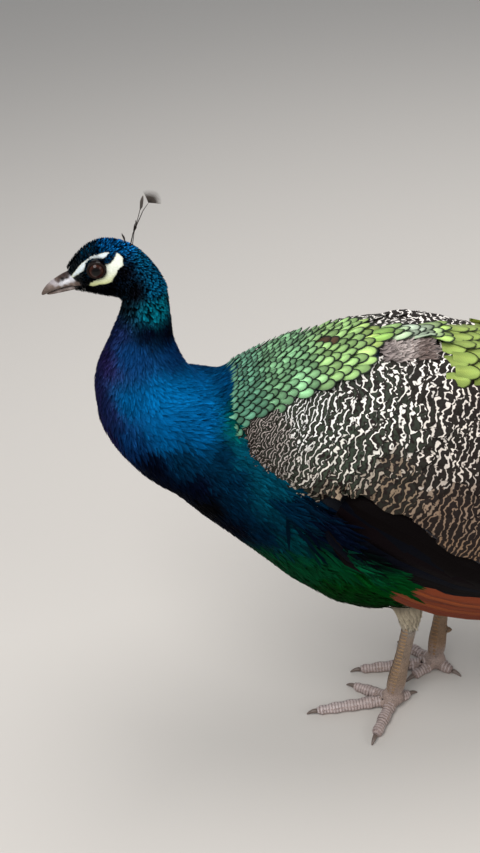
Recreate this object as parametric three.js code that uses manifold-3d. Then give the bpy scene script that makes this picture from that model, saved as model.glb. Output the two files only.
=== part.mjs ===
// A peacock standing still with its train closed behind it: millimetres, +Z up, facing -X.
// The left side is -Y; the eyes and the shells of the wings are built for the left and mirrored.
import * as THREE from "three";
import { mergeVertices } from "three/addons/utils/BufferGeometryUtils.js";
import Module from "manifold-3d";

const wasm = await Module();
wasm.setup();

// Gaps and limits
const GAP = 0.3;
const FAR = 3000;
const CRUMB = 40;
const STEEP = 0.8;
const CAP_SHARE = 0.1;

// How finely each kind of piece is faceted: rings along it and sides around it
const FINE_TRUNK = { along: 22, around: 26 };
const FINE_NECK = { along: 18, around: 22 };
const FINE_HEAD = { along: 15, around: 16 };
const FINE_EYE = { along: 8, around: 10 };
const FINE_WING = { along: 12, around: 30 };
const FINE_TRAIN = { along: 24, around: 16 };
const FINE_TAIL = { along: 10, around: 12 };
const FINE_THIGH = { along: 10, around: 12 };
const FINE_BILL = { along: 8, around: 10 };
const FINE_TARSUS = { along: 7, around: 10 };
const FINE_TOE = { along: 5, around: 7 };
const FINE_TRIM = { along: 5, around: 6 };

// Trunk: rows are [x, middle height, half height, half width]
const TRUNK_ROWS = [
  [-120, 374, 8, 10],
  [-102, 369, 28, 44],
  [-58, 342, 50, 76],
  [0, 318, 88, 97],
  [60, 296, 133, 106],
  [112, 289, 153, 108],
  [165, 290, 151, 108],
  [225, 300, 121, 101],
  [290, 322, 80, 82],
  [350, 340, 44, 56],
  [392, 348, 14, 24],
];

// Neck: rows are [x, height, half length fore and aft, half width], from the head down
const NECK_ROWS = [
  [-72, 522, 8, 8],
  [-69, 508, 15, 16],
  [-70, 492, 20, 20],
  [-75, 470, 25.5, 24],
  [-81, 450, 31, 29],
  [-84.5, 432, 39, 36],
  [-84, 415, 45.5, 43],
  [-80, 403, 51, 50],
  [-62, 391, 69, 62],
  [-45, 376, 85, 73],
  [-33, 350, 85, 84],
  [-20, 318, 72, 82],
  [-14, 288, 30, 40],
];

// Head: rows are [x, middle height, half height, half width], from the nape to the bill
const HEAD_ROWS = [
  [-51, 497, 5, 4],
  [-60, 502, 16, 13],
  [-69, 509, 21.5, 16.5],
  [-79, 514.5, 25.2, 19],
  [-96, 520, 26.3, 20],
  [-112, 521.3, 22.3, 18.5],
  [-123, 519, 16.7, 14.5],
  [-132, 515.4, 10.8, 10],
  [-139, 513, 5, 5],
];
const EYE_RADIUS = 8;
const EYE_AT = [-107, 14.4, 526];

// Bill: rows are [x, middle height, half height, half width]
const BILL_UPPER_ROWS = [
  [-124, 516, 5.5, 6],
  [-134, 514.5, 6.3, 6.2],
  [-143, 511.6, 5, 5],
  [-151, 507.9, 3.6, 3.5],
  [-157, 503.9, 2.2, 2],
  [-159.5, 501.6, 0.8, 0.8],
];
const BILL_LOWER_ROWS = [
  [-122, 507, 2.6, 5],
  [-132, 505.2, 2.9, 5.4],
  [-142, 503.4, 2.6, 4.2],
  [-150, 501.7, 1.8, 2.8],
  [-154.5, 501.2, 0.8, 1],
];

// Crest: rows are [x, y, z, half height, half width] up each shaft and out to the end of its fan;
// flat is the direction its fan is thin in
const CREST_FEATHERS = [
  {
    flat: [0, 1, 0],
    rows: [
      [-78, -2, 538, 0.6, 0.6],
      [-71, -2.6, 554, 0.6, 0.6],
      [-62, -3.6, 567, 0.7, 0.8],
      [-58, -4.2, 572, 0.8, 4.4],
      [-54, -4.8, 577, 0.8, 5.6],
      [-52.5, -5, 579, 0.5, 2],
    ],
  },
  {
    flat: [1, 0, 0],
    rows: [
      [-76, 2, 538, 0.6, 0.6],
      [-71, 2.4, 553, 0.6, 0.6],
      [-66, 3.6, 565, 0.7, 0.8],
      [-64, 4.2, 570, 0.8, 4],
      [-62.5, 4.8, 575, 0.8, 5],
      [-62, 5, 577, 0.5, 2],
    ],
  },
  {
    flat: [0, 1, 0],
    rows: [
      [-79, 0, 539, 0.6, 0.6],
      [-82, -0.6, 546, 0.6, 0.6],
      [-85, -1.4, 551, 0.5, 0.5],
    ],
  },
];

// Wings: the bulk that lies over the trunk, rows as for the trunk, and the thickness of its shell
const WING_ROWS = [
  [-30, 322, 78, 94],
  [-8, 314, 92, 104],
  [50, 290, 138, 122],
  [112, 280, 162, 130],
  [175, 263, 178, 128],
  [240, 242, 177, 120],
  [310, 222, 160, 109],
  [380, 200, 145, 95],
  [450, 190, 100, 78],
];
const WING_SHELL = 16;
const WING_INNER_Y = 26;
const COVERT_OUTLINE = [
  [-9, 402],
  [-6, 396],
  [14, 373],
  [42, 348],
  [66, 341],
  [106, 336],
  [132, 315],
  [160, 281],
  [200, 247],
  [262, 210],
  [330, 190],
  [356, 212],
  [342, 280],
  [300, 340],
  [246, 398],
  [205, 470],
  [122, 470],
  [106, 444],
  [92, 433],
  [66, 424],
  [44, 418],
  [20, 411],
];
const SECONDARY_OUTLINE = [
  [40, 352],
  [74, 298],
  [106, 242],
  [205, 206],
  [300, 176],
  [384, 158],
  [400, 172],
  [372, 225],
  [300, 300],
  [180, 400],
];
const SECONDARY_INSET = 5;
const PRIMARY_OUTLINE = [
  [100, 238],
  [132, 211],
  [170, 190],
  [206, 174],
  [300, 150],
  [400, 134],
  [434, 132],
  [436, 142],
  [380, 176],
  [300, 210],
  [180, 250],
];
const PRIMARY_INSET = 8;

// Legs: the left foot is a step in front of the right one; claw tips are [x, y] on the floor
const LEGS = {
  left: {
    heel: [134.5, -28, 11],
    ankle: [159, -34, 150],
    tips: { inner: [84, 9], middle: [35, -32], outer: [100, -89], hind: [168, -14] },
  },
  right: {
    heel: [190, 22, 11],
    ankle: [206, 30, 150],
    tips: { inner: [149, -2], middle: [90, 25], outer: [152, 70], hind: [219, -3] },
  },
};
const HIP = [92, 46, 285];
const ANKLE_FOOT_CUT = 27;
// Tarsus: rows are [share of the way from heel to ankle, half length, half width]
const TARSUS_ROWS = [
  [1, 8, 7],
  [0.6, 7.6, 6.4],
  [0.25, 8, 6.8],
  [0, 9.5, 9],
];
// Thigh: rows are [share of the way from ankle to hip, height, half length, half width]
const THIGH_ROWS = [
  [0, 121, 7, 7],
  [0.1, 139, 17, 14],
  [0.3, 172, 28, 21],
  [0.6, 214, 40, 28],
  [0.87, 250, 40, 30],
  [1, 285, 18, 18],
];
const PAD_HALF = [13, 12, 9.5];
// Toes: rows are [share of the way from heel to claw, middle height, half size]
const TOE_ROWS = [
  [0, 7.8, 6.8],
  [0.35, 6, 6.6],
  [0.7, 5.4, 6.2],
  [1.03, 4.1, 4.9],
];
// Claws: rows are [distance from the tip, middle height, half size]
const CLAW_LENGTH = 16;
const CLAW_ROWS = [
  [18, 4.6, 3],
  [8.8, 4.7, 2.5],
  [0, 1.3, 0.7],
];
// Spur: rows are [reach behind the tarsus, half size]; it leans this far for each millimetre of reach
const SPUR_HEIGHT = 52;
const SPUR_ROWS = [
  [0, 4],
  [9.1, 3.2],
  [13, 0.8],
];
const SPUR_LEAN = { inwards: 0.5, up: 0.25 };

// Tail and train: rows are [x, middle height, half thickness, half width]
const TAIL_ROWS = [
  [330, 312, 6, 34],
  [420, 276, 5, 56],
  [540, 232, 4, 72],
  [650, 197, 3.4, 80],
  [706, 179, 2, 62],
];
const TRAIN_ROWS = [
  [176, 408, 6, 24],
  [215, 400, 20, 60],
  [270, 380, 34, 86],
  [390, 332, 42, 108],
  [600, 252, 32, 130],
  [800, 174, 21, 144],
  [1000, 104, 15, 152],
  [1130, 60, 12, 150],
  [1230, 25, 11.5, 134],
  [1296, 9.5, 11.5, 98],
  [1336, 5, 6.5, 34],
];
const TRAIN_CUTS = [560, 940];

// Where the long body is parted: a point on each thin cut and the direction it is square to
const HEAD_CUT = { at: [-70, 0, 489], square: [-0.4, 0, 1] };
const NECK_CUT = { at: [-60, 0, 398], square: [-0.36, 0, 1] };

// Reads one set of columns of a section list between its rows: share 0 is the first row, 1 the last.
function sampler(rows, columns) {
  const pick = (row) => new THREE.Vector3(...columns.map((column) => row[column]));
  const curve = new THREE.CatmullRomCurve3(rows.map(pick), false, "centripetal");
  return (share) => curve.getPoint(share);
}

// Six times the signed volume inside a triangle list, negative when its faces point in.
function signedVolume(vertices, triangles) {
  const corner = (i) => new THREE.Vector3().fromArray(vertices, 3 * i);
  let sum = 0;
  for (let i = 0; i < triangles.length; i += 3) {
    const [a, b, c] = [0, 1, 2].map((k) => corner(triangles[i + k]));
    sum += a.dot(b.cross(c));
  }
  return sum;
}

// A three.js geometry as a solid that faces out.
function solidOf(geometry) {
  const bare = geometry.index ? geometry.toNonIndexed() : geometry;
  bare.deleteAttribute("normal");
  bare.deleteAttribute("uv");
  const merged = mergeVertices(bare, 1e-3);
  const vertProperties = merged.attributes.position.array;
  const triVerts = new Uint32Array(merged.index.array);
  if (signedVolume(vertProperties, triVerts) < 0) {
    triVerts.reverse();
  }
  return new wasm.Manifold(new wasm.Mesh({ numProp: 3, vertProperties, triVerts }));
}

// A closed loft: place(share, angle) gives the point at a share of the length, turned by an angle.
function loft(place, { along, around }) {
  const geometry = new THREE.SphereGeometry(1, around, along);
  const position = geometry.getAttribute("position");
  const uv = geometry.getAttribute("uv");
  for (let i = 0; i < position.count; i += 1) {
    const share = (1 - Math.cos(Math.PI * (1 - uv.getY(i)))) / 2;
    const point = place(share, 2 * Math.PI * uv.getX(i));
    position.setXYZ(i, point.x, point.y, point.z);
  }
  return solidOf(geometry);
}

// How much of its full size a section keeps near the ends of a loft, so that they close in a round.
function rounding(share) {
  const depth = Math.min(share, 1 - share) / CAP_SHARE;
  return depth < 1 ? Math.sqrt(1 - (1 - depth) ** 2) : 1;
}

// How far a grown loft reaches past its own ends: back at the first one, on at the last.
function endGrowth(share, grow) {
  return grow * Math.sign(share - 0.5) * (1 - rounding(share));
}

// A body with upright sections across X, from rows of [x, middle height, half height, half width].
function bodyAlongX(rows, { grow = 0, ...fineness }) {
  const centre = sampler(rows, [0, 1, 1]);
  const size = sampler(rows, [2, 3, 3]);
  const sense = Math.sign(rows.at(-1)[0] - rows[0][0]);
  return loft((share, angle) => {
    const at = centre(share);
    const half = size(share);
    const round = rounding(share);
    return new THREE.Vector3(
      at.x + endGrowth(share, grow) * sense,
      (half.y + grow) * round * Math.sin(angle),
      at.y + (half.x + grow) * round * Math.cos(angle),
    );
  }, fineness);
}

// A body with level sections down Z, from rows of [x, height, half length, half width].
function bodyAlongZ(rows, { grow = 0, ...fineness }) {
  const centre = sampler(rows, [0, 1, 1]);
  const size = sampler(rows, [2, 3, 3]);
  return loft((share, angle) => {
    const at = centre(share);
    const half = size(share).addScalar(grow).multiplyScalar(rounding(share));
    const height = at.y - endGrowth(share, grow);
    return new THREE.Vector3(at.x + half.x * Math.cos(angle), half.y * Math.sin(angle), height);
  }, fineness);
}

// A limb along a curve, from rows of [x, y, z, half height, half width].
function limb(rows, { grow = 0, flat, ...fineness }) {
  const points = rows.map(([x, y, z]) => new THREE.Vector3(x, y, z));
  const centre = new THREE.CatmullRomCurve3(points);
  const size = sampler(rows, [3, 4, 4]);
  const run = points.at(-1).clone().sub(points[0]).normalize();
  const level = Math.abs(run.z) > STEEP ? [1, 0, 0] : [0, 0, 1];
  const high = new THREE.Vector3(...(flat ?? level));
  return loft((share, angle) => {
    const along = centre.getTangent(share);
    const side = new THREE.Vector3().crossVectors(along, high).normalize();
    const up = new THREE.Vector3().crossVectors(side, along);
    const half = size(share).addScalar(grow).multiplyScalar(rounding(share));
    return centre
      .getPoint(share)
      .addScaledVector(along, endGrowth(share, grow))
      .addScaledVector(up, half.x * Math.cos(angle))
      .addScaledVector(side, half.y * Math.sin(angle));
  }, fineness);
}

// A box between two corners.
function block([x0, y0, z0], [x1, y1, z1]) {
  const box = new THREE.BoxGeometry(x1 - x0, y1 - y0, z1 - z0);
  box.translate((x0 + x1) / 2, (y0 + y1) / 2, (z0 + z1) / 2);
  return solidOf(box);
}

// A plate standing on the left side, from an outline in X and Z, from yInner outwards.
function sidePlate(outline, yInner) {
  const shape = new THREE.Shape(outline.map(([x, z]) => new THREE.Vector2(x, z)));
  const plate = new THREE.ExtrudeGeometry(shape, { depth: FAR, bevelEnabled: false });
  plate.rotateX(Math.PI / 2);
  plate.translate(0, -yInner, 0);
  return solidOf(plate);
}

// A thin slab through a point, square to a direction, for parting two neighbours.
function parting([x, y, z], [dx, dy, dz]) {
  const slab = new THREE.BoxGeometry(GAP, FAR, FAR);
  const turn = new THREE.Quaternion().setFromUnitVectors(
    new THREE.Vector3(1, 0, 0),
    new THREE.Vector3(dx, dy, dz).normalize(),
  );
  slab.applyQuaternion(turn);
  slab.translate(x, y, z);
  return solidOf(slab);
}

// The pieces of a solid in order of their middles along an axis.
function pieces(solid, axis) {
  const middle = (one) => (one.boundingBox().min[axis] + one.boundingBox().max[axis]) / 2;
  return solid
    .decompose()
    .filter((one) => one.volume() > CRUMB)
    .sort((a, b) => middle(a) - middle(b));
}

function biggest(solid) {
  return solid.decompose().sort((a, b) => b.volume() - a.volume())[0];
}

function union(solids) {
  return solids.reduce((all, one) => all.add(one));
}

function without(solid, others) {
  return others.reduce((left, one) => left.subtract(one), solid);
}

function mirrored(solid) {
  return solid.mirror([0, 1, 0]);
}

function asBuilt(solid) {
  return solid;
}

// An outline moved outwards all round, for cutting a neighbour back by a gap.
function grown(outline, by) {
  const points = outline.map(([x, z]) => new THREE.Vector2(x, z));
  const sense = Math.sign(THREE.ShapeUtils.area(points));
  return points.map((point, i) => {
    const next = points[(i + 1) % points.length];
    const last = points.at(i - 1);
    const run = next.clone().sub(last).normalize();
    return [point.x + run.y * by * sense, point.y - run.x * by * sense];
  });
}

function trunk(grow = 0) {
  return bodyAlongX(TRUNK_ROWS, { grow, ...FINE_TRUNK });
}

function neck(grow = 0) {
  return bodyAlongZ(NECK_ROWS, { grow, ...FINE_NECK });
}

function head(grow = 0) {
  return bodyAlongX(HEAD_ROWS, { grow, ...FINE_HEAD });
}

function eyeball(grow = 0) {
  const ball = new THREE.SphereGeometry(EYE_RADIUS + grow, FINE_EYE.around, FINE_EYE.along);
  ball.translate(EYE_AT[0], -EYE_AT[1], EYE_AT[2]);
  return solidOf(ball);
}

// Head, neck and trunk as one body, parted by two thin cuts.
function bodyParts() {
  const whole = union([head(), neck(), trunk()]);
  const cuts = [HEAD_CUT, NECK_CUT].map(({ at, square }) => parting(at, square));
  const [trunkPart, neckPart, headPart] = pieces(without(whole, cuts), 2);
  const sockets = [eyeball(GAP), mirrored(eyeball(GAP))];
  return { trunk: trunkPart, neck: neckPart, head: without(headPart, sockets) };
}

// The two halves of the bill, standing out of the feathers of the face.
function bill() {
  const upper = bodyAlongX(BILL_UPPER_ROWS, FINE_BILL);
  const lower = bodyAlongX(BILL_LOWER_ROWS, FINE_BILL);
  const face = head(GAP);
  const upperRoom = bodyAlongX(BILL_UPPER_ROWS, { grow: GAP, ...FINE_BILL });
  return {
    upper: biggest(without(upper, [face])),
    lower: biggest(without(lower, [face, upperRoom])),
  };
}

function crestFeather({ rows, flat }) {
  return biggest(without(limb(rows, { flat, ...FINE_TRIM }), [head(GAP)]));
}

// The shell of the folded left wing, drawn in by an inset and widened by a gap where it cuts others.
function wingShell(inset = 0, grow = 0) {
  const outer = bodyAlongX(WING_ROWS, { grow: grow - inset, ...FINE_WING });
  const inner = bodyAlongX(WING_ROWS, { grow: -WING_SHELL - grow, ...FINE_WING });
  return without(outer, [inner]);
}

// A folded wing as three layers, each clear of the body and of the layer over it; side is a
// function that leaves the left wing as it is or mirrors it.
function wingParts(side) {
  const body = [trunk(GAP), neck(GAP)];
  const layer = (outline, inset, over) => {
    const plate = sidePlate(outline, WING_INNER_Y);
    const room = over.map((one) => sidePlate(grown(one, GAP), 0));
    return biggest(without(side(without(wingShell(inset).intersect(plate), room)), body));
  };
  return {
    coverts: layer(COVERT_OUTLINE, 0, []),
    secondaries: layer(SECONDARY_OUTLINE, SECONDARY_INSET, [COVERT_OUTLINE]),
    primaries: layer(PRIMARY_OUTLINE, PRIMARY_INSET, [COVERT_OUTLINE, SECONDARY_OUTLINE]),
  };
}

// Where the left wing needs room in the train and tail.
function wingRoom() {
  return wingShell(0, GAP).intersect(sidePlate(grown(COVERT_OUTLINE, GAP), WING_INNER_Y - GAP));
}

// The feathered thigh from above the ankle up into the flank.
function thigh({ ankle }, grow = 0) {
  const sideways = Math.sign(ankle[1]);
  const rows = THIGH_ROWS.map(([share, z, high, wide]) => [
    THREE.MathUtils.lerp(ankle[0], HIP[0], share),
    THREE.MathUtils.lerp(ankle[1], HIP[1] * sideways, share),
    z,
    high,
    wide,
  ]);
  return limb(rows, { grow, ...FINE_THIGH });
}

// The line on the floor from the pad of a foot out to a claw tip, with the root of the claw on it.
function toeLine(heel, tip) {
  const from = new THREE.Vector2(heel[0], heel[1]);
  const to = new THREE.Vector2(tip[0], tip[1]);
  const back = from.clone().sub(to).normalize();
  return { from, to, back, root: to.clone().addScaledVector(back, CLAW_LENGTH) };
}

function toeRows(heel, tip) {
  const { from, root } = toeLine(heel, tip);
  return TOE_ROWS.map(([share, z, half]) => [...from.clone().lerp(root, share), z, half, half]);
}

function clawRows(heel, tip) {
  const { to, back } = toeLine(heel, tip);
  return CLAW_ROWS.map(([length, z, half]) => [...to.clone().addScaledVector(back, length), z, half, half]);
}

// A point on the middle line of a tarsus, at a share of the way from heel to ankle.
function onTarsus({ heel, ankle }, share) {
  return heel.map((value, i) => THREE.MathUtils.lerp(value, ankle[i], share));
}

function tarsusRows(leg) {
  return TARSUS_ROWS.map(([share, long, wide]) => [...onTarsus(leg, share), long, wide]);
}

// The blunt spur on the back of a tarsus, on the side that faces the other leg.
function spur(leg) {
  const share = (SPUR_HEIGHT - leg.heel[2]) / (leg.ankle[2] - leg.heel[2]);
  const [x, y, z] = onTarsus(leg, share);
  const inwards = -Math.sign(leg.ankle[1]) * SPUR_LEAN.inwards;
  const rows = SPUR_ROWS.map(([out, half]) => [
    x + out,
    y + inwards * out,
    z + SPUR_LEAN.up * out,
    half,
    half,
  ]);
  return limb(rows, FINE_TRIM);
}

// A foot with its tarsus and claws, standing flat on the floor.
function legParts(leg, blockers) {
  const pad = new THREE.SphereGeometry(1, FINE_TARSUS.around, FINE_TOE.along);
  pad.scale(...PAD_HALF);
  pad.translate(...leg.heel);
  const tips = Object.values(leg.tips);
  const toes = tips.map((tip) => limb(toeRows(leg.heel, tip), FINE_TOE));
  const rooms = tips.map((tip) => limb(toeRows(leg.heel, tip), { grow: GAP, ...FINE_TOE }));
  const shank = limb(tarsusRows(leg), FINE_TARSUS);
  const underFloor = block([-FAR, -FAR, -FAR], [FAR, FAR, 0]);
  const whole = without(union([solidOf(pad), shank, spur(leg), ...toes]), [underFloor, ...blockers]);
  const cut = parting([0, 0, ANKLE_FOOT_CUT], [0, 0, 1]);
  const [foot, tarsus] = pieces(without(whole, [cut]), 2);
  const claws = Object.entries(leg.tips).map(([name, tip]) => {
    const claw = limb(clawRows(leg.heel, tip), FINE_TRIM);
    return [name, biggest(without(claw, [...rooms, underFloor]))];
  });
  return { foot, tarsus, claws };
}

// The closed train, parted into lengths, and the stiff brown tail under its root.
function trainParts(blockers) {
  const floor = block([-FAR, -FAR, -FAR], [FAR, FAR, 0]);
  const whole = biggest(
    without(bodyAlongX(TRAIN_ROWS, FINE_TRAIN), [...blockers, floor]),
  );
  const cuts = TRAIN_CUTS.map((x) => parting([x, 0, 0], [1, 0, 0]));
  const [base, middle, end] = pieces(without(whole, cuts), 0);
  const trainRoom = bodyAlongX(TRAIN_ROWS, { grow: GAP, ...FINE_TRAIN });
  const tail = bodyAlongX(TAIL_ROWS, FINE_TAIL);
  return { base, middle, end, tail: biggest(without(tail, [...blockers, trainRoom])) };
}

// Finishes, one for each kind of surface
function finish(color, roughness, metalness = 0) {
  return new THREE.MeshStandardMaterial({ color, roughness, metalness });
}

const BLUE = finish(0x0e4f8c, 0.45);
const GREEN = finish(0x4d9a4b, 0.5);
const BARRED = finish(0x6b6254, 0.7);
const NAVY = finish(0x14203a, 0.5);
const RUFOUS = finish(0x8c4a2c, 0.65);
const BROWN = finish(0x5c4636, 0.7);
const BRONZE = finish(0x5f7a3a, 0.5);
const BUFF = finish(0xa08a70, 0.8);
const LEG_SKIN = finish(0x9c8578, 0.6);
const HORN = finish(0x4a443e, 0.4);
const BILL_HORN = finish(0x8a8078, 0.4);
const EYE_DARK = finish(0x20130c, 0.08);

function named(name, solid, material) {
  const { vertProperties, triVerts } = solid.getMesh();
  const geometry = new THREE.BufferGeometry();
  geometry.setAttribute("position", new THREE.BufferAttribute(vertProperties, 3));
  geometry.setIndex(new THREE.BufferAttribute(triVerts, 1));
  const mesh = new THREE.Mesh(geometry.toNonIndexed(), material);
  mesh.geometry.computeVertexNormals();
  mesh.name = name;
  return mesh;
}

// Moves the whole bird so that the middle of its underside is the origin.
function centred(group) {
  const box = new THREE.Box3().setFromObject(group);
  const middle = box.getCenter(new THREE.Vector3());
  group.position.set(-middle.x, -middle.y, -box.min.z);
  return group;
}

function peacock() {
  const body = bodyParts();
  const beak = bill();
  const wings = { left: wingParts(asBuilt), right: wingParts(mirrored) };
  const bodyRoom = [trunk(GAP), neck(GAP)];
  const rear = trainParts([trunk(GAP), wingRoom(), mirrored(wingRoom())]);
  const meshes = [
    named("head", body.head, BLUE),
    named("neck", body.neck, BLUE),
    named("trunk", body.trunk, BLUE),
    named("eye_left", eyeball(), EYE_DARK),
    named("eye_right", mirrored(eyeball()), EYE_DARK),
    named("bill_upper", beak.upper, BILL_HORN),
    named("bill_lower", beak.lower, BILL_HORN),
    ...CREST_FEATHERS.map((one, i) => named(`crest_${i + 1}`, crestFeather(one), HORN)),
    ...Object.entries(LEGS).flatMap(([side, leg]) => {
      const { foot, tarsus, claws } = legParts(leg, [thigh(leg, GAP), ...bodyRoom]);
      return [
        named(`thigh_${side}`, biggest(without(thigh(leg), bodyRoom)), BUFF),
        named(`tarsus_${side}`, tarsus, LEG_SKIN),
        named(`foot_${side}`, foot, LEG_SKIN),
        ...claws.map(([name, claw]) => named(`claw_${name}_${side}`, claw, HORN)),
      ];
    }),
    ...Object.entries(wings).flatMap(([side, wing]) => [
      named(`wing_coverts_${side}`, wing.coverts, BARRED),
      named(`secondaries_${side}`, wing.secondaries, NAVY),
      named(`primaries_${side}`, wing.primaries, RUFOUS),
    ]),
    named("tail", rear.tail, BROWN),
    named("train_base", rear.base, GREEN),
    named("train_middle", rear.middle, BRONZE),
    named("train_end", rear.end, BRONZE),
  ];
  return centred(new THREE.Group().add(...meshes));
}

export default peacock();
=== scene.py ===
"""A life-size peacock that stands with its wings folded and its train closed, feather by feather.

The bird faces -X and its left side is towards -Y. Places on it are given in the bird's own
millimetres: x aft of the shoulder, y to the right of the middle, z above the floor. They are
turned into the frame's metres by one function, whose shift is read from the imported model.
"""

import logging
import math
from collections.abc import Callable, Sequence
from dataclasses import dataclass, field
from enum import Enum

import bpy
import numpy as np
from mathutils import Matrix, Vector
from mathutils.bvhtree import BVHTree


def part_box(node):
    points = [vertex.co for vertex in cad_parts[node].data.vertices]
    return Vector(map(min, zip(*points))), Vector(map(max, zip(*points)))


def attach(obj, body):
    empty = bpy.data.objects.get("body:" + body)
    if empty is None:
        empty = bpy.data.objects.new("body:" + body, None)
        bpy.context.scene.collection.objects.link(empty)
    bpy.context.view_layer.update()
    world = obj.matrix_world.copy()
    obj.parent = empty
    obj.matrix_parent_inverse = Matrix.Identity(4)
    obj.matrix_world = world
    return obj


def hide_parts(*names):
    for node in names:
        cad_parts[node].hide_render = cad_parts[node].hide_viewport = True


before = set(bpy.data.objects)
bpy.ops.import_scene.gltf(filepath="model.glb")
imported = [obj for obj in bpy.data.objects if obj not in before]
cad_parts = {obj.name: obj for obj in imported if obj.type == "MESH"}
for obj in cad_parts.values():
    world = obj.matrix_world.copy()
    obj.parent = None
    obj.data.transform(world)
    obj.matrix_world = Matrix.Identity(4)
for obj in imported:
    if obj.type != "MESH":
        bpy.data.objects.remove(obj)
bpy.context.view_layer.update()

LOG = logging.getLogger("peacock")
BODY = "root"
BAKE_MAP = "OFBake"
MM = 0.001
SEED = 1887
# No feather dips lower than this over the floor
FLOOR_GAP_M = 0.0006

Array = np.ndarray
Object = bpy.types.Object
Tree = bpy.types.NodeTree
Socket = bpy.types.NodeSocket
# From points and normals to which belong, from points to a size for each, and to a feather's edge values
Region = Callable[[Array, Array], Array]
Measure = Callable[[Array], Array]
Marks = Callable[[Array, Array, Array], Array]

EYE_MM = np.array([-107.0, 14.4, 526.0])
EYE_RADIUS_MM = 8.0
SHIFT = np.array([(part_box("eye_left")[0].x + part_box("eye_left")[1].x) / 2 - EYE_MM[0] * MM, 0.0, 0.0])

SIDES = {"left": -1, "right": 1}
MATH, MIX, VECTOR, RANGE = "ShaderNodeMath", "ShaderNodeMix", "ShaderNodeVectorMath", "ShaderNodeMapRange"
NOISE, RAMP, BUMP, READ = "ShaderNodeTexNoise", "ShaderNodeValToRGB", "ShaderNodeBump", "ShaderNodeAttribute"
SPLIT, PLACE, CELLS = "ShaderNodeSeparateXYZ", "ShaderNodeTexCoord", "ShaderNodeTexVoronoi"


# ---------------------------------------------------------------- frames, colours and nodes


def metres(points: Sequence | Array) -> Array:
    """Turns the bird's millimetres into places in the frame.

    Args:
        points: One point or an array of points, in the bird's millimetres.

    Returns:
        The same points in the frame's metres.
    """
    return np.asarray(points, float) * MM + SHIFT


def millimetres(points: Array) -> Array:
    """Turns places in the frame back into the bird's millimetres."""
    return (points - SHIFT) / MM


def linear(hex_colour: str) -> tuple[float, float, float, float]:
    """Turns an sRGB hex colour into a linear RGBA one."""
    parts = [int(hex_colour[i : i + 2], 16) / 255 for i in (0, 2, 4)]
    light = [p / 12.92 if p <= 0.04045 else ((p + 0.055) / 1.055) ** 2.4 for p in parts]
    return light[0], light[1], light[2], 1.0


def add_node(
    tree: Tree, kind: str, inputs: dict | None = None, stops: Sequence[tuple[float, str]] = (), **settings: object
) -> bpy.types.Node:
    """Adds a shader node with its settings and links.

    Args:
        tree: The material's node tree.
        kind: The node's type.
        inputs: For each socket, by name or number, a value or the output socket that feeds it.
        stops: The places and hex colours of a ramp.
        **settings: The node's own properties.

    Returns:
        The new node.
    """
    made = tree.nodes.new(kind)
    for name, value in settings.items():
        setattr(made, name, value)
    for socket, value in (inputs or {}).items():
        if isinstance(value, Socket):
            tree.links.new(value, made.inputs[socket])
        else:
            made.inputs[socket].default_value = value
    if stops:
        ramp = made.color_ramp.elements
        while len(ramp) < len(stops):
            ramp.new(1.0)
        for stop, (at, colour) in zip(ramp, stops):
            stop.position = at
            stop.color = linear(colour)
    return made


def cloudy(tree: Tree, scale: float, low: float, high: float) -> Socket:
    """Returns a brightness that wanders over a piece in soft clouds.

    Args:
        tree: The material's node tree.
        scale: How fine the clouds are.
        low: How dark it goes.
        high: How bright it goes.

    Returns:
        The socket that gives the brightness.
    """
    place = add_node(tree, PLACE).outputs["Object"]
    cloud = add_node(tree, NOISE, {"Vector": place, "Scale": scale, "Detail": 3.0}).outputs["Fac"]
    return add_node(tree, RANGE, {0: cloud, 1: 0.3, 2: 0.7, 3: low, 4: high}).outputs[0]


def unit(vectors: Array) -> Array:
    """Scales vectors to a length of one."""
    return vectors / np.maximum(np.linalg.norm(vectors, axis=-1, keepdims=True), 1e-12)


def inside(outline: Sequence[tuple[float, float]], first: Array, second: Array) -> Array:
    """Tells which points lie inside an outline, by counting the edges that a ray crosses."""
    corners = np.asarray(outline, float)
    found = np.zeros(len(first), bool)
    for (x0, y0), (x1, y1) in zip(corners, np.roll(corners, -1, 0)):
        spans = (y0 > second) != (y1 > second)
        rise = y1 - y0 if y1 != y0 else 1e-9
        found ^= spans & (first < (x1 - x0) * (second - y0) / rise + x0)
    return found


# ---------------------------------------------------------------- fields over the body


@dataclass(frozen=True)
class Field:
    """Values given at named places in the side view, blended smoothly between them.

    Attributes:
        places: Each (x, z, value, ...). A place's pull falls with the fourth power of distance.
        softness_mm: How near to a place its pull stops growing.
    """

    places: tuple[tuple, ...]
    softness_mm: float = 9.0

    def blend(self, points_mm: Array, values: Array) -> Array:
        """Blends one row of values for each place at every point.

        Args:
            points_mm: Points in the bird's millimetres.
            values: One row for each place.

        Returns:
            One blended row for each point.
        """
        at = np.array([place[:2] for place in self.places], float)
        gap = ((points_mm[:, None, [0, 2]] - at) ** 2).sum(-1) + self.softness_mm**2
        pull = gap**-2.0
        return (pull @ values) / pull.sum(1, keepdims=True)


class Colours(Field):
    """Hex colours at places in the side view, each with a fourth number for its finish."""

    def at(self, points_mm: Array) -> Array:
        """Returns the linear colour and the fourth number at each point."""
        rows = [(*linear(place[2])[:3], place[3] if len(place) > 3 else 0.0) for place in self.places]
        return self.blend(points_mm, np.array(rows))


class Lie(Field):
    """The way that the coat lies, as directions in the side view at places in it."""

    def at(self, points_mm: Array, normals: Array) -> Array:
        """Returns the direction of the coat at each point, laid into the surface there."""
        flat = self.blend(points_mm, np.array([place[2:4] for place in self.places], float))
        way = np.stack([flat[:, 0], np.zeros(len(flat)), flat[:, 1]], 1)
        return unit(way - (way * normals).sum(1, keepdims=True) * normals)


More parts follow.
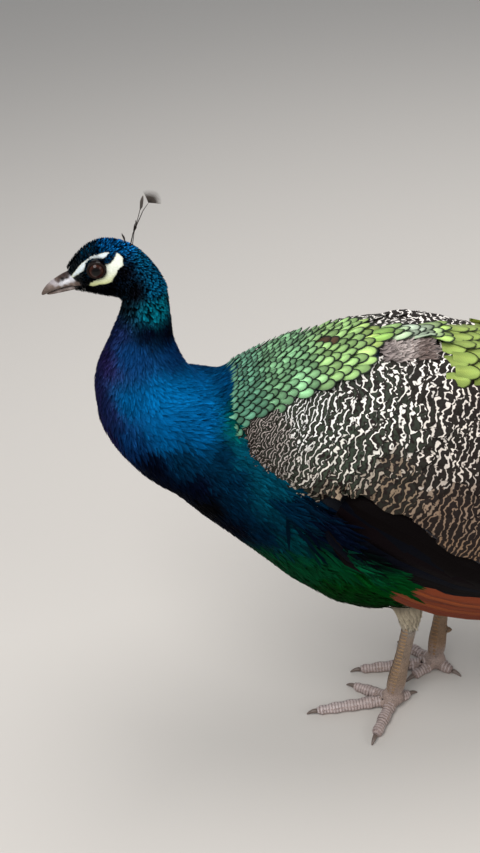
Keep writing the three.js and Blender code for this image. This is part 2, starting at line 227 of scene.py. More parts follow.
# The coat runs back over the head, down the neck and aft along the body.
BODY_LIE = Lie(
    (
        (-130, 528, 0.75, 0.65), (-118, 541, 0.85, 0.5), (-98, 549, 1.0, 0.0), (-76, 541, 0.7, -0.7),
        (-58, 520, 0.35, -0.95), (-122, 505, 1.0, -0.15), (-100, 515, 1.0, -0.25), (-98, 496, 0.95, -0.45),
        (-80, 490, 0.3, -0.95), (-52, 480, 0.15, -1.0), (-104, 460, -0.35, -0.95), (-80, 450, -0.05, -1.0),
        (-48, 450, 0.3, -0.95), (-124, 420, -0.05, -1.0), (-85, 415, 0.15, -1.0), (-40, 410, 0.85, -0.5),
        (-128, 380, 0.35, -0.95), (-70, 375, 0.65, -0.75), (-10, 385, 0.85, -0.55), (-90, 330, 0.65, -0.75),
        (0, 320, 0.85, -0.55), (60, 260, 0.8, -0.6), (20, 240, 0.8, -0.6), (110, 160, 0.95, -0.3),
        (140, 150, 0.9, -0.45), (220, 200, 0.95, 0.3), (300, 280, 0.9, 0.4), (60, 420, 1.0, 0.1),
        (200, 430, 1.0, -0.15),
    )
)

WING_LIE = Lie(
    (
        (0, 380, 0.75, -0.65), (60, 400, 0.86, -0.5), (60, 345, 0.88, -0.46), (110, 432, 0.97, -0.22),
        (150, 425, 0.98, -0.15), (130, 330, 0.88, -0.46), (200, 390, 0.96, -0.26), (200, 280, 0.92, -0.38),
        (300, 250, 0.88, -0.46), (345, 200, 0.9, -0.42),
    )
)

# Iridescent plumage, from violet through blue and teal to the green-black belly
# The violet along the front edges of throat and breast is painted sheen, where the blue turns with the view
SHADES = {
    "black": "07070b",
    "ink": "050b1c",
    "slate": "0f1f26",
    "crown": "08558c",
    "nape": "033750",
    "teal": "034c5a",
    "violet": "2a2450",
    "indigo": "1d2a54",
    "royal": "0c3766",
    "blue": "024a7a",
    "bright blue": "02588e",
    "deep teal": "033e50",
    "sea green": "015852",
    "breast": "022238",
    "flank": "014046",
    "green": "064a2c",
    "leaf": "044014",
    "moss": "14280f",
    "down": "12100c",
}


def shaded(*places: tuple[float, float, str]) -> tuple:
    """Turns named shades at places in the side view into colours."""
    return tuple((x, z, SHADES[shade]) for x, z, shade in places)


BODY_COLOURS = Colours(
    shaded(
        (-128, 528, "slate"), (-116, 540, "nape"), (-100, 550, "crown"), (-82, 545, "crown"), (-68, 532, "nape"),
        (-120, 508, "black"), (-100, 506, "black"), (-86, 524, "black"), (-78, 504, "black"), (-60, 505, "nape"),
        (-52, 490, "teal"), (-92, 490, "slate"), (-66, 484, "teal"), (-55, 466, "ink"), (-72, 471, "ink"),
        (-100, 468, "indigo"), (-112, 448, "violet"), (-86, 452, "royal"), (-52, 446, "royal"),
        (-126, 415, "violet"), (-112, 408, "indigo"), (-94, 415, "blue"), (-70, 418, "bright blue"),
        (-45, 413, "bright blue"), (-18, 400, "bright blue"), (-122, 384, "violet"), (-100, 386, "royal"),
        (-74, 391, "blue"), (-45, 389, "blue"), (-12, 385, "sea green"), (-60, 371, "breast"), (-84, 367, "ink"),
        (-28, 370, "breast"), (-8, 371, "deep teal"), (-78, 344, "ink"), (-50, 348, "ink"), (-20, 350, "breast"),
        (4, 352, "deep teal"), (-44, 326, "black"), (-20, 325, "breast"), (5, 334, "deep teal"),
        (24, 328, "breast"), (-28, 304, "ink"), (0, 300, "breast"), (20, 299, "flank"), (44, 312, "ink"),
        (58, 298, "ink"), (68, 324, "ink"), (84, 296, "black"), (5, 264, "green"), (33, 258, "green"),
        (60, 272, "green"), (58, 228, "leaf"), (92, 232, "leaf"), (106, 194, "leaf"), (95, 165, "moss"),
        (150, 170, "down"), (240, 200, "down"),
    ),
    softness_mm=4.0,
)

# The light bars of shoulder and wing, from pinkish grey through white to beige, with the share of
# green between the bars as the fourth number.
BAR_COLOURS = Colours(
    (
        (-4, 376, "7d6e68", 0.1), (16, 385, "a89c94", 0.35), (45, 395, "ecebe4", 0.6), (60, 370, "e4dfd2", 0.7),
        (60, 345, "86725c", 0.3), (100, 400, "efeae0", 0.5), (100, 350, "86725c", 0.15), (150, 430, "f4ede4", 0.1),
        (150, 380, "e4d9cd", 0.1), (140, 330, "88705c", 0.0), (190, 390, "d8ccc0", 0.0), (190, 290, "86694f", 0.0),
        (300, 250, "a88d74", 0.0),
    ),
    softness_mm=8.0,
)

# Dark skin round the nostril, a white rim under it, then grey-brown horn
# The slit's darkest brown and the darker horn low down are painted shade, in the hole and under the upper half
BILL_COLOURS = Colours(
    (
        (-128.5, 522.5, "241713"), (-133, 521, "281a15"), (-137, 519, "301f19"), (-141, 517.6, "38271f"),
        (-144.3, 515.9, "54463e"), (-134.4, 517.8, "2c1c16"), (-138.8, 515.9, "1a1210"), (-142.4, 514.6, "3a2922"),
        (-130.2, 517.2, "dcdce2"), (-133.2, 514.9, "e6e4e8"), (-136.7, 512.9, "e6e4e8"), (-140.5, 511.8, "dcdadf"),
        (-144.5, 511.6, "b8b0b2"), (-147.8, 513.4, "a29a9c"), (-121, 513, "3a2a24"), (-126, 512.5, "5f4c43"),
        (-131, 510.8, "7c695f"), (-137, 509.4, "84726a"), (-143, 508.4, "7c6a60"), (-149, 509, "786860"),
        (-154, 505.5, "685a52"), (-159, 502, "5c4e46"), (-126, 506.5, "3c2f2a"), (-138, 503.5, "50423b"),
        (-150, 501.5, "5c4c44"),
    ),
    softness_mm=0.7,
)

# Leg skin: pinkish grey toes, brownish shanks, greyer under the stocking
LEG_COLOURS = Colours(
    (
        (40, 4, "a8928c"), (100, 4, "a8928c"), (150, 4, "9c867e"), (200, 4, "9c867e"), (240, 4, "a8928c"),
        (130, 20, "a28c80"), (190, 20, "a28c80"), (140, 45, "8c745f"), (196, 45, "86684c"),
        (150, 90, "8f7a68"), (200, 90, "8a6c50"), (155, 112, "9a8e82"), (204, 112, "8f7a68"),
    ),
    softness_mm=10.0,
)

MANTLE_COLOURS = Colours(
    ((0, 395, "6aa484"), (40, 410, "88bc88"), (90, 428, "a2ca7e"), (125, 438, "b4cc6c"), (160, 434, "98b890")),
    softness_mm=14.0,
)

RUMP_COLOURS = Colours(
    ((190, 428, "a4ba62"), (240, 405, "98ac46"), (330, 370, "7c9438"), (450, 320, "5f7a2e")), softness_mm=30.0
)


# ---------------------------------------------------------------- finishes


@dataclass(frozen=True)
class Finish:
    """A surface: what it is made of and how it takes the light.

    Attributes:
        name: The real material's name.
        roughness: How dull its gloss is.
        metallic: How much its gloss takes its own colour.
        colour: Its sRGB colour, where nothing else gives one.
        coat: How strong a clear gloss lies over it.
        specular: How strong its plain gloss is.
        mottle: How far its brightness wanders.
        edge_tint: What its gloss turns to where it is seen edge on.
    """

    name: str
    roughness: float
    metallic: float = 0.0
    colour: str = "808080"
    coat: float = 0.0
    specular: float = 0.5
    mottle: float = 0.15
    edge_tint: str = "ffffff"

    def material(self) -> bpy.types.Material:
        """Returns the material, making it the first time that it is asked for."""
        if self.name in bpy.data.materials:
            return bpy.data.materials[self.name]
        made = bpy.data.materials.new(self.name)
        made.use_nodes = True
        tree = made.node_tree
        sockets = tree.nodes["Principled BSDF"].inputs
        sockets["Roughness"].default_value = self.roughness
        sockets["Metallic"].default_value = self.metallic
        sockets["Coat Weight"].default_value = self.coat
        sockets["Specular IOR Level"].default_value = self.specular
        sockets["Specular Tint"].default_value = linear(self.edge_tint)
        tree.links.new(self.paint(tree), sockets["Base Color"])
        height = self.relief(tree)
        if height is not None:
            tree.links.new(height, sockets["Normal"])
        return made

    def paint(self, tree: Tree) -> Socket:
        """Returns the socket that colours the surface: here a soft mottle round one colour."""
        shade = cloudy(tree, 220.0, 1 - self.mottle, 1 + self.mottle)
        return add_node(tree, VECTOR, {0: linear(self.colour)[:3], "Scale": shade}, operation="SCALE").outputs[0]

    def relief(self, tree: Tree) -> Socket | None:
        """Returns the socket that gives the surface its fine relief, or None."""
        return None


@dataclass(frozen=True)
class Reads:
    """What a feather's finish reads from its mesh."""

    plumage: Socket
    grade: Socket
    across: Socket
    along: Socket
    chance: Socket
    share: Socket
    edge: Socket
    place: Socket


@dataclass(frozen=True)
class Plumage(Finish):
    """Keratin barbs on a shaft: the colour is the mesh's own, and the barbs break up the gloss.

    Attributes:
        tone: How far one feather's brightness is from the next one's.
        barb_mm: The spacing of the barbs as drawn. Real ones stand 0.3 to 0.6 mm apart.
        barb_gap_shade: How dark the painted shade between barbs is; the barbs get half as much painted light.
        tip_sheen_root_shade: How much painted shade darkens a feather's root, with half as much painted sheen at its
            tip.
        painted_glints: How sharply single feathers flash with painted glints or go dark with painted shade.
    """

    tone: float = 0.2
    barb_mm: float = 0.9
    barb_gap_shade: float = 0.25
    tip_sheen_root_shade: float = 0.3
    painted_glints: float = 0.0
    specular: float = 0.2

    def reads(self, tree: Tree) -> Reads:
        """Adds the nodes that read the mesh's attributes."""
        plumage = add_node(tree, READ, attribute_name="Plumage")
        barbs = add_node(tree, READ, attribute_name="Barbs").outputs["Vector"]
        vane = add_node(tree, READ, attribute_name="Vane").outputs["Vector"]
        across, along, chance = add_node(tree, SPLIT, {0: barbs}).outputs
        _, share, edge = add_node(tree, SPLIT, {0: vane}).outputs
        place = add_node(tree, PLACE).outputs["Object"]
        colour, grade = plumage.outputs["Color"], plumage.outputs["Alpha"]
        return Reads(colour, grade, across, along, chance, share, edge, place)

    def stripes(self, tree: Tree, reads: Reads) -> Socket:
        """Returns the height of the barbs, which slant from the shaft out towards the tip."""
        out = add_node(tree, MATH, {0: reads.across}, operation="ABSOLUTE").outputs[0]
        slant = add_node(tree, MATH, {0: out, 1: -1.1, 2: reads.along}, operation="MULTIPLY_ADD").outputs[0]
        turn = add_node(tree, MATH, {0: slant, 1: math.tau / self.barb_mm}, operation="MULTIPLY").outputs[0]
        return add_node(tree, MATH, {0: turn}, operation="SINE").outputs[0]

    def shaded(self, tree: Tree, reads: Reads, colour: Socket) -> Socket:
        """Breaks a colour up by feather and barb, with painted glints and painted shade and sheen along each feather
        and barb.
        """
        low, high = 1 - self.tone, 1 + self.tone
        tone = add_node(tree, RANGE, {0: reads.chance, 1: 0.0, 2: 1.0, 3: low, 4: high}).outputs[0]
        # Painted glints and painted shade on single feathers, picked at random
        if self.painted_glints:
            flash = {0: reads.chance, 1: 0.25, 2: 0.9, 3: 1 - self.painted_glints, 4: 1 + 1.5 * self.painted_glints}
            glint = add_node(tree, RANGE, flash).outputs[0]
            tone = add_node(tree, MATH, {0: tone, 1: glint}, operation="MULTIPLY").outputs[0]
        # Painted shade at the feather's root and painted sheen at its tip
        tip = add_node(
            tree, RANGE, {0: reads.share, 1: 0.2, 2: 1.0, 3: 1 - self.tip_sheen_root_shade, 4: 1 + self.tip_sheen_root_shade / 2}
        ).outputs[0]
        tone = add_node(tree, MATH, {0: tone, 1: tip}, operation="MULTIPLY").outputs[0]
        # Painted shade between the barbs and painted light along them
        stripe = {0: self.stripes(tree, reads), 1: -1.0, 2: 1.0, 3: 1 - self.barb_gap_shade, 4: 1 + self.barb_gap_shade / 2}
        barbs = add_node(tree, RANGE, stripe).outputs[0]
        tone = add_node(tree, MATH, {0: tone, 1: barbs}, operation="MULTIPLY").outputs[0]
        return add_node(tree, VECTOR, {0: colour, "Scale": tone}, operation="SCALE").outputs[0]

    def paint(self, tree: Tree) -> Socket:
        """Returns the plumage colour, broken up by feather and barb."""
        reads = self.reads(tree)
        return self.shaded(tree, reads, self.pattern(tree, reads))

    def pattern(self, tree: Tree, reads: Reads) -> Socket:
        """Returns the feather's own marking: here none but its plumage colour."""
        return reads.plumage

    def relief(self, tree: Tree) -> Socket:
        """Returns the fine ridges of the barbs."""
        reads = self.reads(tree)
        ridge = {"Strength": 0.35, "Distance": self.barb_mm * MM * 0.3, "Height": self.stripes(tree, reads)}
        return add_node(tree, BUMP, ridge).outputs[0]


@dataclass(frozen=True)
class ScalePlumage(Plumage):
    """A broad round feather with a heart lightened by a painted highlight, a deeper border and a dark rim.

    Attributes:
        rim: The colour of the rim.
        rim_from: Where the rim starts, as a share of the way from the heart to the edge.
        heart: How much brighter the heart is, as a painted highlight.
        border: How bright the border is.
        bronze: The colour that the heart turns to.
        bronze_share: How strong that is.
    """

    rim: str = "10150f"
    rim_from: float = 0.8
    heart: float = 1.5
    border: float = 0.6
    bronze: str = "a98a3a"
    bronze_share: float = 0.0

    def pattern(self, tree: Tree, reads: Reads) -> Socket:
        """Returns the heart's painted highlight, the border and the rim, the rim a little ragged."""
        rag = add_node(tree, NOISE, {"Vector": reads.place, "Scale": 900.0, "Detail": 1.0}).outputs["Fac"]
        edge = add_node(tree, MATH, {0: rag, 1: 0.1, 2: reads.edge}, operation="MULTIPLY_ADD").outputs[0]
        # A painted highlight lightens the heart and fades towards the border
        bright = add_node(tree, RANGE, {0: edge, 1: 0.1, 2: 0.85, 3: self.heart, 4: self.border}).outputs[0]
        lit = add_node(tree, VECTOR, {0: reads.plumage, "Scale": bright}, operation="SCALE").outputs[0]
        core = add_node(tree, RANGE, {0: edge, 1: 0.2, 2: 0.6, 3: self.bronze_share, 4: 0.0}).outputs[0]
        warm = add_node(tree, MIX, {0: core, 6: lit, 7: linear(self.bronze)}, data_type="RGBA").outputs[2]
        rim = add_node(tree, RANGE, {0: edge, 1: self.rim_from, 2: self.rim_from + 0.14}).outputs[0]
        return add_node(tree, MIX, {0: rim, 6: warm, 7: linear(self.rim)}, data_type="RGBA").outputs[2]


@dataclass(frozen=True)
class BarredPlumage(Plumage):
    """Pale and black-brown bars across each feather, wavy and broken, with a green gloss between.

    Attributes:
        dark: The colour between the pale bars.
        green: The gloss in the middle of the dark.
        waver: How far the bars wander, in bars.
        light_share: Where the pale bars start: a higher number makes them thinner.
    """

    dark: str = "1a0f0b"
    green: str = "3a4838"
    waver: float = 1.35
    light_share: float = 0.55

    def pattern(self, tree: Tree, reads: Reads) -> Socket:
        """Returns the bars, from the phase that the mesh carries in its edge value."""
        broad = add_node(tree, NOISE, {"Vector": reads.place, "Scale": 75.0, "Detail": 2.0}).outputs["Fac"]
        fine = add_node(tree, NOISE, {"Vector": reads.place, "Scale": 190.0, "Detail": 1.0}).outputs["Fac"]
        phase = add_node(tree, MATH, {0: broad, 1: self.waver, 2: reads.edge}, operation="MULTIPLY_ADD").outputs[0]
        phase = add_node(tree, MATH, {0: fine, 1: self.waver, 2: phase}, operation="MULTIPLY_ADD").outputs[0]
        turn = add_node(tree, MATH, {0: phase, 1: math.tau}, operation="MULTIPLY").outputs[0]
        wave = add_node(tree, MATH, {0: turn}, operation="SINE").outputs[0]
        deep = add_node(tree, RANGE, {0: wave, 1: -0.9, 2: -0.3, 3: 1.0, 4: 0.0}).outputs[0]
        gloss = add_node(tree, MATH, {0: deep, 1: reads.grade}, operation="MULTIPLY").outputs[0]
        dark = add_node(
            tree, MIX, {0: gloss, 6: linear(self.dark), 7: linear(self.green)}, data_type="RGBA"
        ).outputs[2]
        light = add_node(tree, RANGE, {0: wave, 1: self.light_share, 2: self.light_share + 0.3}).outputs[0]
        return add_node(tree, MIX, {0: light, 6: dark, 7: reads.plumage}, data_type="RGBA").outputs[2]


@dataclass(frozen=True)
class EyedPlumage(Plumage):
    """The eye-spot: a violet heart in turquoise, set in bronze, ringed with gold and green.

    Attributes:
        stops: How far from the heart each colour lies.
    """

    stops: tuple = (
        (0.0, "140d5a"), (0.2, "1a1678"), (0.25, "1690a8"), (0.38, "20b4b0"), (0.43, "2d7a50"), (0.48, "8a5420"),
        (0.66, "a06a28"), (0.71, "c8b840"), (0.76, "4c6a28"), (0.83, "9aa83c"), (0.9, "5a5a24"), (1.0, "6f8a3a"),
    )

    def pattern(self, tree: Tree, reads: Reads) -> Socket:
        """Returns the rings, from the distance to the heart that the mesh carries."""
        return add_node(tree, RAMP, {0: reads.edge}, self.stops).outputs[0]


# Barbs and barbules of a blue body feather: a silky, half-metal gloss that is coloured by structure
SILK = Plumage(
    "Blue body feather", 0.45, 0.8, tone=0.1, barb_mm=1.1, barb_gap_shade=0.3, tip_sheen_root_shade=0.12, painted_glints=0.12,
    specular=0.05, edge_tint="1c2a4a",
)
# Short crisp head feathers: each flashes or goes dark as it turns, here as painted glints and painted shade
VELVET = Plumage(
    "Head feather", 0.4, 0.8, tone=0.2, barb_gap_shade=0.0, tip_sheen_root_shade=0.6, painted_glints=0.85, specular=0.05,
    edge_tint="1c2a4a",
)
# Scale feathers of the mantle: green metal with a black rim, as if enamelled
MANTLE = ScalePlumage(
    "Mantle scale feather", 0.42, 0.25, tone=0.28, barb_mm=1.0, barb_gap_shade=0.25, rim="101a10",
    rim_from=0.82, heart=1.3, border=0.6, tip_sheen_root_shade=0.1, painted_glints=0.15,
)
# Scale feathers of the rump: broad and brassy green with a fine brown rim
RUMP = ScalePlumage(
    "Rump scale feather", 0.38, 0.35, tone=0.12, barb_mm=1.6, barb_gap_shade=0.22, rim="1d200c",
    rim_from=0.87, heart=1.1, border=0.75, bronze="8a7a2a", bronze_share=0.15, specular=0.1,
)
# Shoulder and wing feathers: matt, with broken pale bars
BARRED = BarredPlumage("Barred wing feather", 0.62, 0.0, tone=0.12, barb_mm=1.0, barb_gap_shade=0.1, tip_sheen_root_shade=0.1)
# Secondaries: black-brown vanes with a blue gloss, stiff and smooth
NAVY = Plumage("Dark flight feather", 0.5, 0.2, tone=0.35, barb_mm=1.4, barb_gap_shade=0.3, tip_sheen_root_shade=0.0, specular=0.04)
# Primaries: matt chestnut vanes
RUFOUS = Plumage("Chestnut flight feather", 0.6, 0.0, tone=0.12, barb_mm=1.4, barb_gap_shade=0.2, tip_sheen_root_shade=0.0)
# Tail feathers: dull brown and stiff
BROWN = Plumage("Brown tail feather", 0.65, 0.0, tone=0.15, barb_mm=1.6, barb_gap_shade=0.25, tip_sheen_root_shade=0.1)
# Down between the back's scale feathers and on the thighs: fluffy and matt
DOWN = Plumage("Loose down", 0.85, 0.0, tone=0.45, barb_mm=0.9, barb_gap_shade=0.35, tip_sheen_root_shade=0.5)
# Loose barbs of the train: hair-fine, bronze that flashes green, with painted glints
BRONZE = Plumage("Train barb", 0.36, 0.5, tone=0.4, barb_gap_shade=0.0, tip_sheen_root_shade=0.3, painted_glints=0.3)
# Eye-spots of the train: close, flat barbs that shine like enamel
EYED = EyedPlumage("Train eye-spot", 0.3, 0.45, tone=0.08, barb_mm=1.2, barb_gap_shade=0.18, tip_sheen_root_shade=0.0)
# Quills: smooth ivory-white horn
QUILL = Finish("Feather quill", 0.4, colour="cdbf9c")


@dataclass(frozen=True)
class MarkedFinish(Finish):
    """Horn or skin in the colours that the mesh carries, with a fine mottle.

    Attributes:
        grain: How fine the mottle is.
        low: How dark it goes.
        high: How bright it goes.
    """

    grain: float = 600.0
    low: float = 0.85
    high: float = 1.1

    def paint(self, tree: Tree) -> Socket:
        """Returns the mesh's colours with the mottle."""
        marks = add_node(tree, READ, attribute_name="Plumage").outputs["Color"]
        shade = cloudy(tree, self.grain, self.low, self.high)
        return add_node(tree, VECTOR, {0: marks, "Scale": shade}, operation="SCALE").outputs[0]


@dataclass(frozen=True)
class SkinFinish(MarkedFinish):
    """Skin that carries the coat's markings, dull and finely creased."""

    def relief(self, tree: Tree) -> Socket:
        """Returns creases about a millimetre apart."""
        place = add_node(tree, PLACE).outputs["Object"]
        crease = add_node(tree, CELLS, {"Vector": place, "Scale": 900.0}).outputs["Distance"]
        return add_node(tree, BUMP, {"Strength": 0.4, "Distance": 0.0003, "Height": crease}).outputs[0]


@dataclass(frozen=True)
class LegFinish(Finish):
    """Scaly leg skin in the colours that the mesh carries: pebbled between the scutes, darker in the seams."""

    seam: float = 0.5

    def pebbles(self, tree: Tree) -> Socket:
        """Returns the distance to the nearest seam between pebbles."""
        place = add_node(tree, PLACE).outputs["Object"]
        return add_node(tree, CELLS, {"Vector": place, "Scale": 620.0}, feature="DISTANCE_TO_EDGE").outputs[0]

    def paint(self, tree: Tree) -> Socket:
        """Returns the pebbles' colour, with dark seams between them."""
        hide = add_node(tree, READ, attribute_name="Plumage").outputs["Color"]
        body = add_node(tree, RANGE, {0: self.pebbles(tree), 1: 0.02, 2: 0.14, 3: self.seam, 4: 1.0}).outputs[0]
        shade = cloudy(tree, 90.0, 0.8, 1.15)
        tone = add_node(tree, MATH, {0: body, 1: shade}, operation="MULTIPLY").outputs[0]
        return add_node(tree, VECTOR, {0: hide, "Scale": tone}, operation="SCALE").outputs[0]

    def relief(self, tree: Tree) -> Socket:
        """Returns the pebbles' relief."""
        return add_node(tree, BUMP, {"Strength": 0.6, "Distance": 0.0006, "Height": self.pebbles(tree)}).outputs[0]


@dataclass(frozen=True)
class ScuteFinish(Finish):
    """Horny plates whose colour is the mesh's own, stained dark where they meet."""

    seam: str = "4c3a3c"

    def paint(self, tree: Tree) -> Socket:
        """Returns the plate's colour with its dark edges and a few stains."""
        hide = add_node(tree, READ, attribute_name="Plumage").outputs["Color"]
        vane = add_node(tree, READ, attribute_name="Vane").outputs["Vector"]
        side = add_node(tree, SPLIT, {0: vane}).outputs[0]
        out = add_node(tree, MATH, {0: side}, operation="ABSOLUTE").outputs[0]
        stain = cloudy(tree, 260.0, 0.72, 1.15)
        tone = add_node(tree, VECTOR, {0: hide, "Scale": stain}, operation="SCALE").outputs[0]
        seam = add_node(tree, RANGE, {0: out, 1: 0.6, 2: 1.0, 3: 0.0, 4: 0.8}).outputs[0]
        return add_node(tree, MIX, {0: seam, 6: tone, 7: linear(self.seam)}, data_type="RGBA").outputs[2]


@dataclass(frozen=True)
class EyeFinish(Finish):
    """A wet dark brown eye: black pupil, brown iris that lightens outwards, dark rim."""

    pupil_mm: float = 3.1
    iris_mm: float = 6.3

    def paint(self, tree: Tree) -> Socket:
        """Returns the rings of the eye, from the distance to its axis."""
        place = add_node(tree, PLACE).outputs["Object"]
        away = add_node(tree, VECTOR, {0: place, 1: metres(EYE_MM)}, operation="SUBTRACT").outputs[0]
        flat = add_node(tree, VECTOR, {0: away, 1: (1.0, 0.0, 1.0)}, operation="MULTIPLY").outputs[0]
        reach = add_node(tree, VECTOR, {0: flat}, operation="LENGTH").outputs["Value"]
        share = add_node(tree, MATH, {0: reach, 1: self.iris_mm * MM}, operation="DIVIDE").outputs[0]
        edge = self.pupil_mm / self.iris_mm
        stops = ((0.0, "040303"), (edge, "050303"), (edge + 0.08, "1a0a06"), (0.86, "38190f"), (1.0, "0a0404"))
        return add_node(tree, RAMP, {0: share}, stops).outputs[0]


# Bare and feathered skin under the coat: dull, with the coat's own markings, halved as painted shade where feathered
SKIN = SkinFinish("Bird skin", 0.7)
# Leg skin: dry pebbled keratin, brownish grey with a pink cast
LEG = LegFinish("Pebbled leg skin", 0.55)
# Scutes: smooth horny plates, paler than the skin between them
SCUTE = ScuteFinish("Leg scute", 0.45)
# Claw horn: dark, smooth and slightly shiny
CLAW = Finish("Claw horn", 0.45, colour="685950", coat=0.1)
# Eye: a wet cornea over a brown iris
EYE = EyeFinish("Wet eye", 0.07, coat=0.12, specular=0.15)
# Lid: dark bare skin with a faint gloss
LID = Finish("Bare lid skin", 0.7, colour="1a120f", specular=0.1)
# Bill: dry, finely worn horn with a soft shine
BILL = MarkedFinish("Bill horn", 0.5, specular=0.25, grain=700.0, low=0.75, high=1.15)
# Crest: bare brown shafts with dusty grey-brown fans
CREST = Plumage("Crest barb", 0.6, 0.0, tone=0.2, barb_gap_shade=0.0, tip_sheen_root_shade=0.3, specular=0.2)


# ---------------------------------------------------------------- meshes from arrays and nodes


def finished(piece: Object, slot: str, *nodes: str) -> Object:
    """Lets a piece ride on the body and stand for CAD nodes.

    Args:
        piece: The finished mesh object.
        slot: Not used.
        *nodes: The CAD nodes that it stands for.

    Returns:
        The same object.
    """
    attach(piece, BODY)
    if nodes:
        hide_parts(*nodes)
    LOG.info("%s: %d faces", piece.name, len(piece.data.polygons))
    return piece


def add_object(name: str, mesh: bpy.types.Mesh) -> Object:
    """Puts a mesh into the scene as an object at the origin."""
    made = bpy.data.objects.new(name, mesh)
    bpy.context.scene.collection.objects.link(made)
    return made


def select_only(piece: Object) -> None:
    """Makes one object the only selected and the active one."""
    bpy.ops.object.select_all(action="DESELECT")
    piece.select_set(True)
    bpy.context.view_layer.objects.active = piece


def apply_modifier(piece: Object, kind: str, **settings: object) -> None:
    """Adds a modifier with its settings and applies it."""
    select_only(piece)
    added = piece.modifiers.new(kind.title(), kind)
    for name, value in settings.items():
        setattr(added, name, value)
    bpy.ops.object.modifier_apply(modifier=added.name)


def join(pieces: Sequence[Object]) -> Object:
    """Joins objects into the first of them."""
    select_only(pieces[0])
    for piece in pieces:
        piece.select_set(True)
    if len(pieces) > 1:
        bpy.ops.object.join()
    return pieces[0]


def coordinates(mesh: bpy.types.Mesh) -> Array:
    """Returns a mesh's vertices as an array."""
    flat = np.empty(len(mesh.vertices) * 3, np.float32)
    mesh.vertices.foreach_get("co", flat)
    return flat.reshape(-1, 3).astype(float)


def vertex_normals(mesh: bpy.types.Mesh) -> Array:
    """Returns a mesh's smooth normals as an array."""
    flat = np.empty(len(mesh.vertices) * 3, np.float32)
    mesh.vertex_normals.foreach_get("vector", flat)
    return flat.reshape(-1, 3).astype(float)


def move_vertices(mesh: bpy.types.Mesh, points: Array) -> None:
    """Sets a mesh's vertices from an array."""
    mesh.vertices.foreach_set("co", points.astype(np.float32).ravel())
    mesh.update()


def merged_copy(name: str, nodes: Sequence[str]) -> Object:
    """Copies CAD nodes into one object, with each node's loose triangles merged.

    Args:
        name: The new object's name.
        nodes: The names of the nodes.

    Returns:
        One object that holds a closed shell for each node.
    """
    copies = []
    for node in nodes:
        copy = add_object(f"{name}_{node}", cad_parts[node].data.copy())
        copy.data.materials.clear()
        apply_modifier(copy, "WELD", merge_threshold=1e-5)
        copies.append(copy)
    whole = join(copies)
    whole.name = name
    whole.data.name = name
    return whole


def set_attribute(mesh: bpy.types.Mesh, name: str, values: Array) -> None:
    """Writes a vector or colour attribute on a mesh's points."""
    kind, key = ("FLOAT_COLOR", "color") if values.shape[-1] == 4 else ("FLOAT_VECTOR", "vector")
    made = mesh.attributes.new(name, kind, "POINT")
    made.data.foreach_set(key, values.astype(np.float32).ravel())


def smooth_faces(mesh: bpy.types.Mesh) -> None:
    """Shades all faces of a mesh smooth."""
    mesh.polygons.foreach_set("use_smooth", np.ones(len(mesh.polygons), bool))


# ---------------------------------------------------------------- surfaces that feathers lie on


class Surface:
    """A mesh that can be asked for its nearest point or for where a ray meets it."""

    def __init__(self, meshes: Sequence[bpy.types.Mesh]) -> None:
        """Gathers meshes into one search tree."""
        points, faces, normals, start = [], [], [], 0
        for mesh in meshes:
            co = coordinates(mesh)
            smooth = vertex_normals(mesh)
            for polygon in mesh.polygons:
                corners = list(polygon.vertices)
                faces.append([start + corner for corner in corners])
                normals.append(smooth[corners].mean(0))
            points.append(co)
            start += len(co)
        self.normals = unit(np.array(normals))
        self.tree = BVHTree.FromPolygons(np.concatenate(points).tolist(), faces)

    def nearest(self, points: Array) -> tuple[Array, Array]:
        """Returns the nearest point of the surface, and the smooth normal there, for each point."""
        found, faces = np.empty_like(points), np.empty(len(points), int)
        for i, point in enumerate(points):
            hit, _, face, _ = self.tree.find_nearest(point)
            found[i] = hit
            faces[i] = face
        return found, self.normals[faces]

    def meet(self, starts: Array, way: Sequence[float]) -> tuple[Array, Array]:
        """Casts rays one way.

        Args:
            starts: Where the rays start.
            way: The direction of them all.

        Returns:
            Which rays meet the surface, and where.
        """
        hits = [self.tree.ray_cast(start, way)[0] for start in starts]
        met = np.array([hit is not None for hit in hits])
        return met, np.array([hit for hit in hits if hit is not None]).reshape(-1, 3)


def cad_surface(*nodes: str) -> Surface:
    """Returns the surface of CAD nodes."""
    return Surface([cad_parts[node].data for node in nodes])


# ---------------------------------------------------------------- the skin

SPINE_MM = np.array(
    [(-125, 515), (-100, 522), (-76, 505), (-78, 450), (-78, 410), (-50, 360), (10, 318), (112, 290),
     (200, 300), (330, 320), (420, 320), (800, 174), (1340, 10)], float
)
FLESH = ["head", "neck", "trunk", "thigh_left", "thigh_right", "wing_coverts_left", "wing_coverts_right"]
LEG_NODES = ["tarsus_left", "tarsus_right", "foot_left", "foot_right"]
TRAIN_NODES = ["train_base", "train_middle", "train_end"]
# The heights at which the bare shank ends and up to which the thigh is buff
SHANK_TOP_MM = 116.0
STOCKING_TOP_MM = 165.0

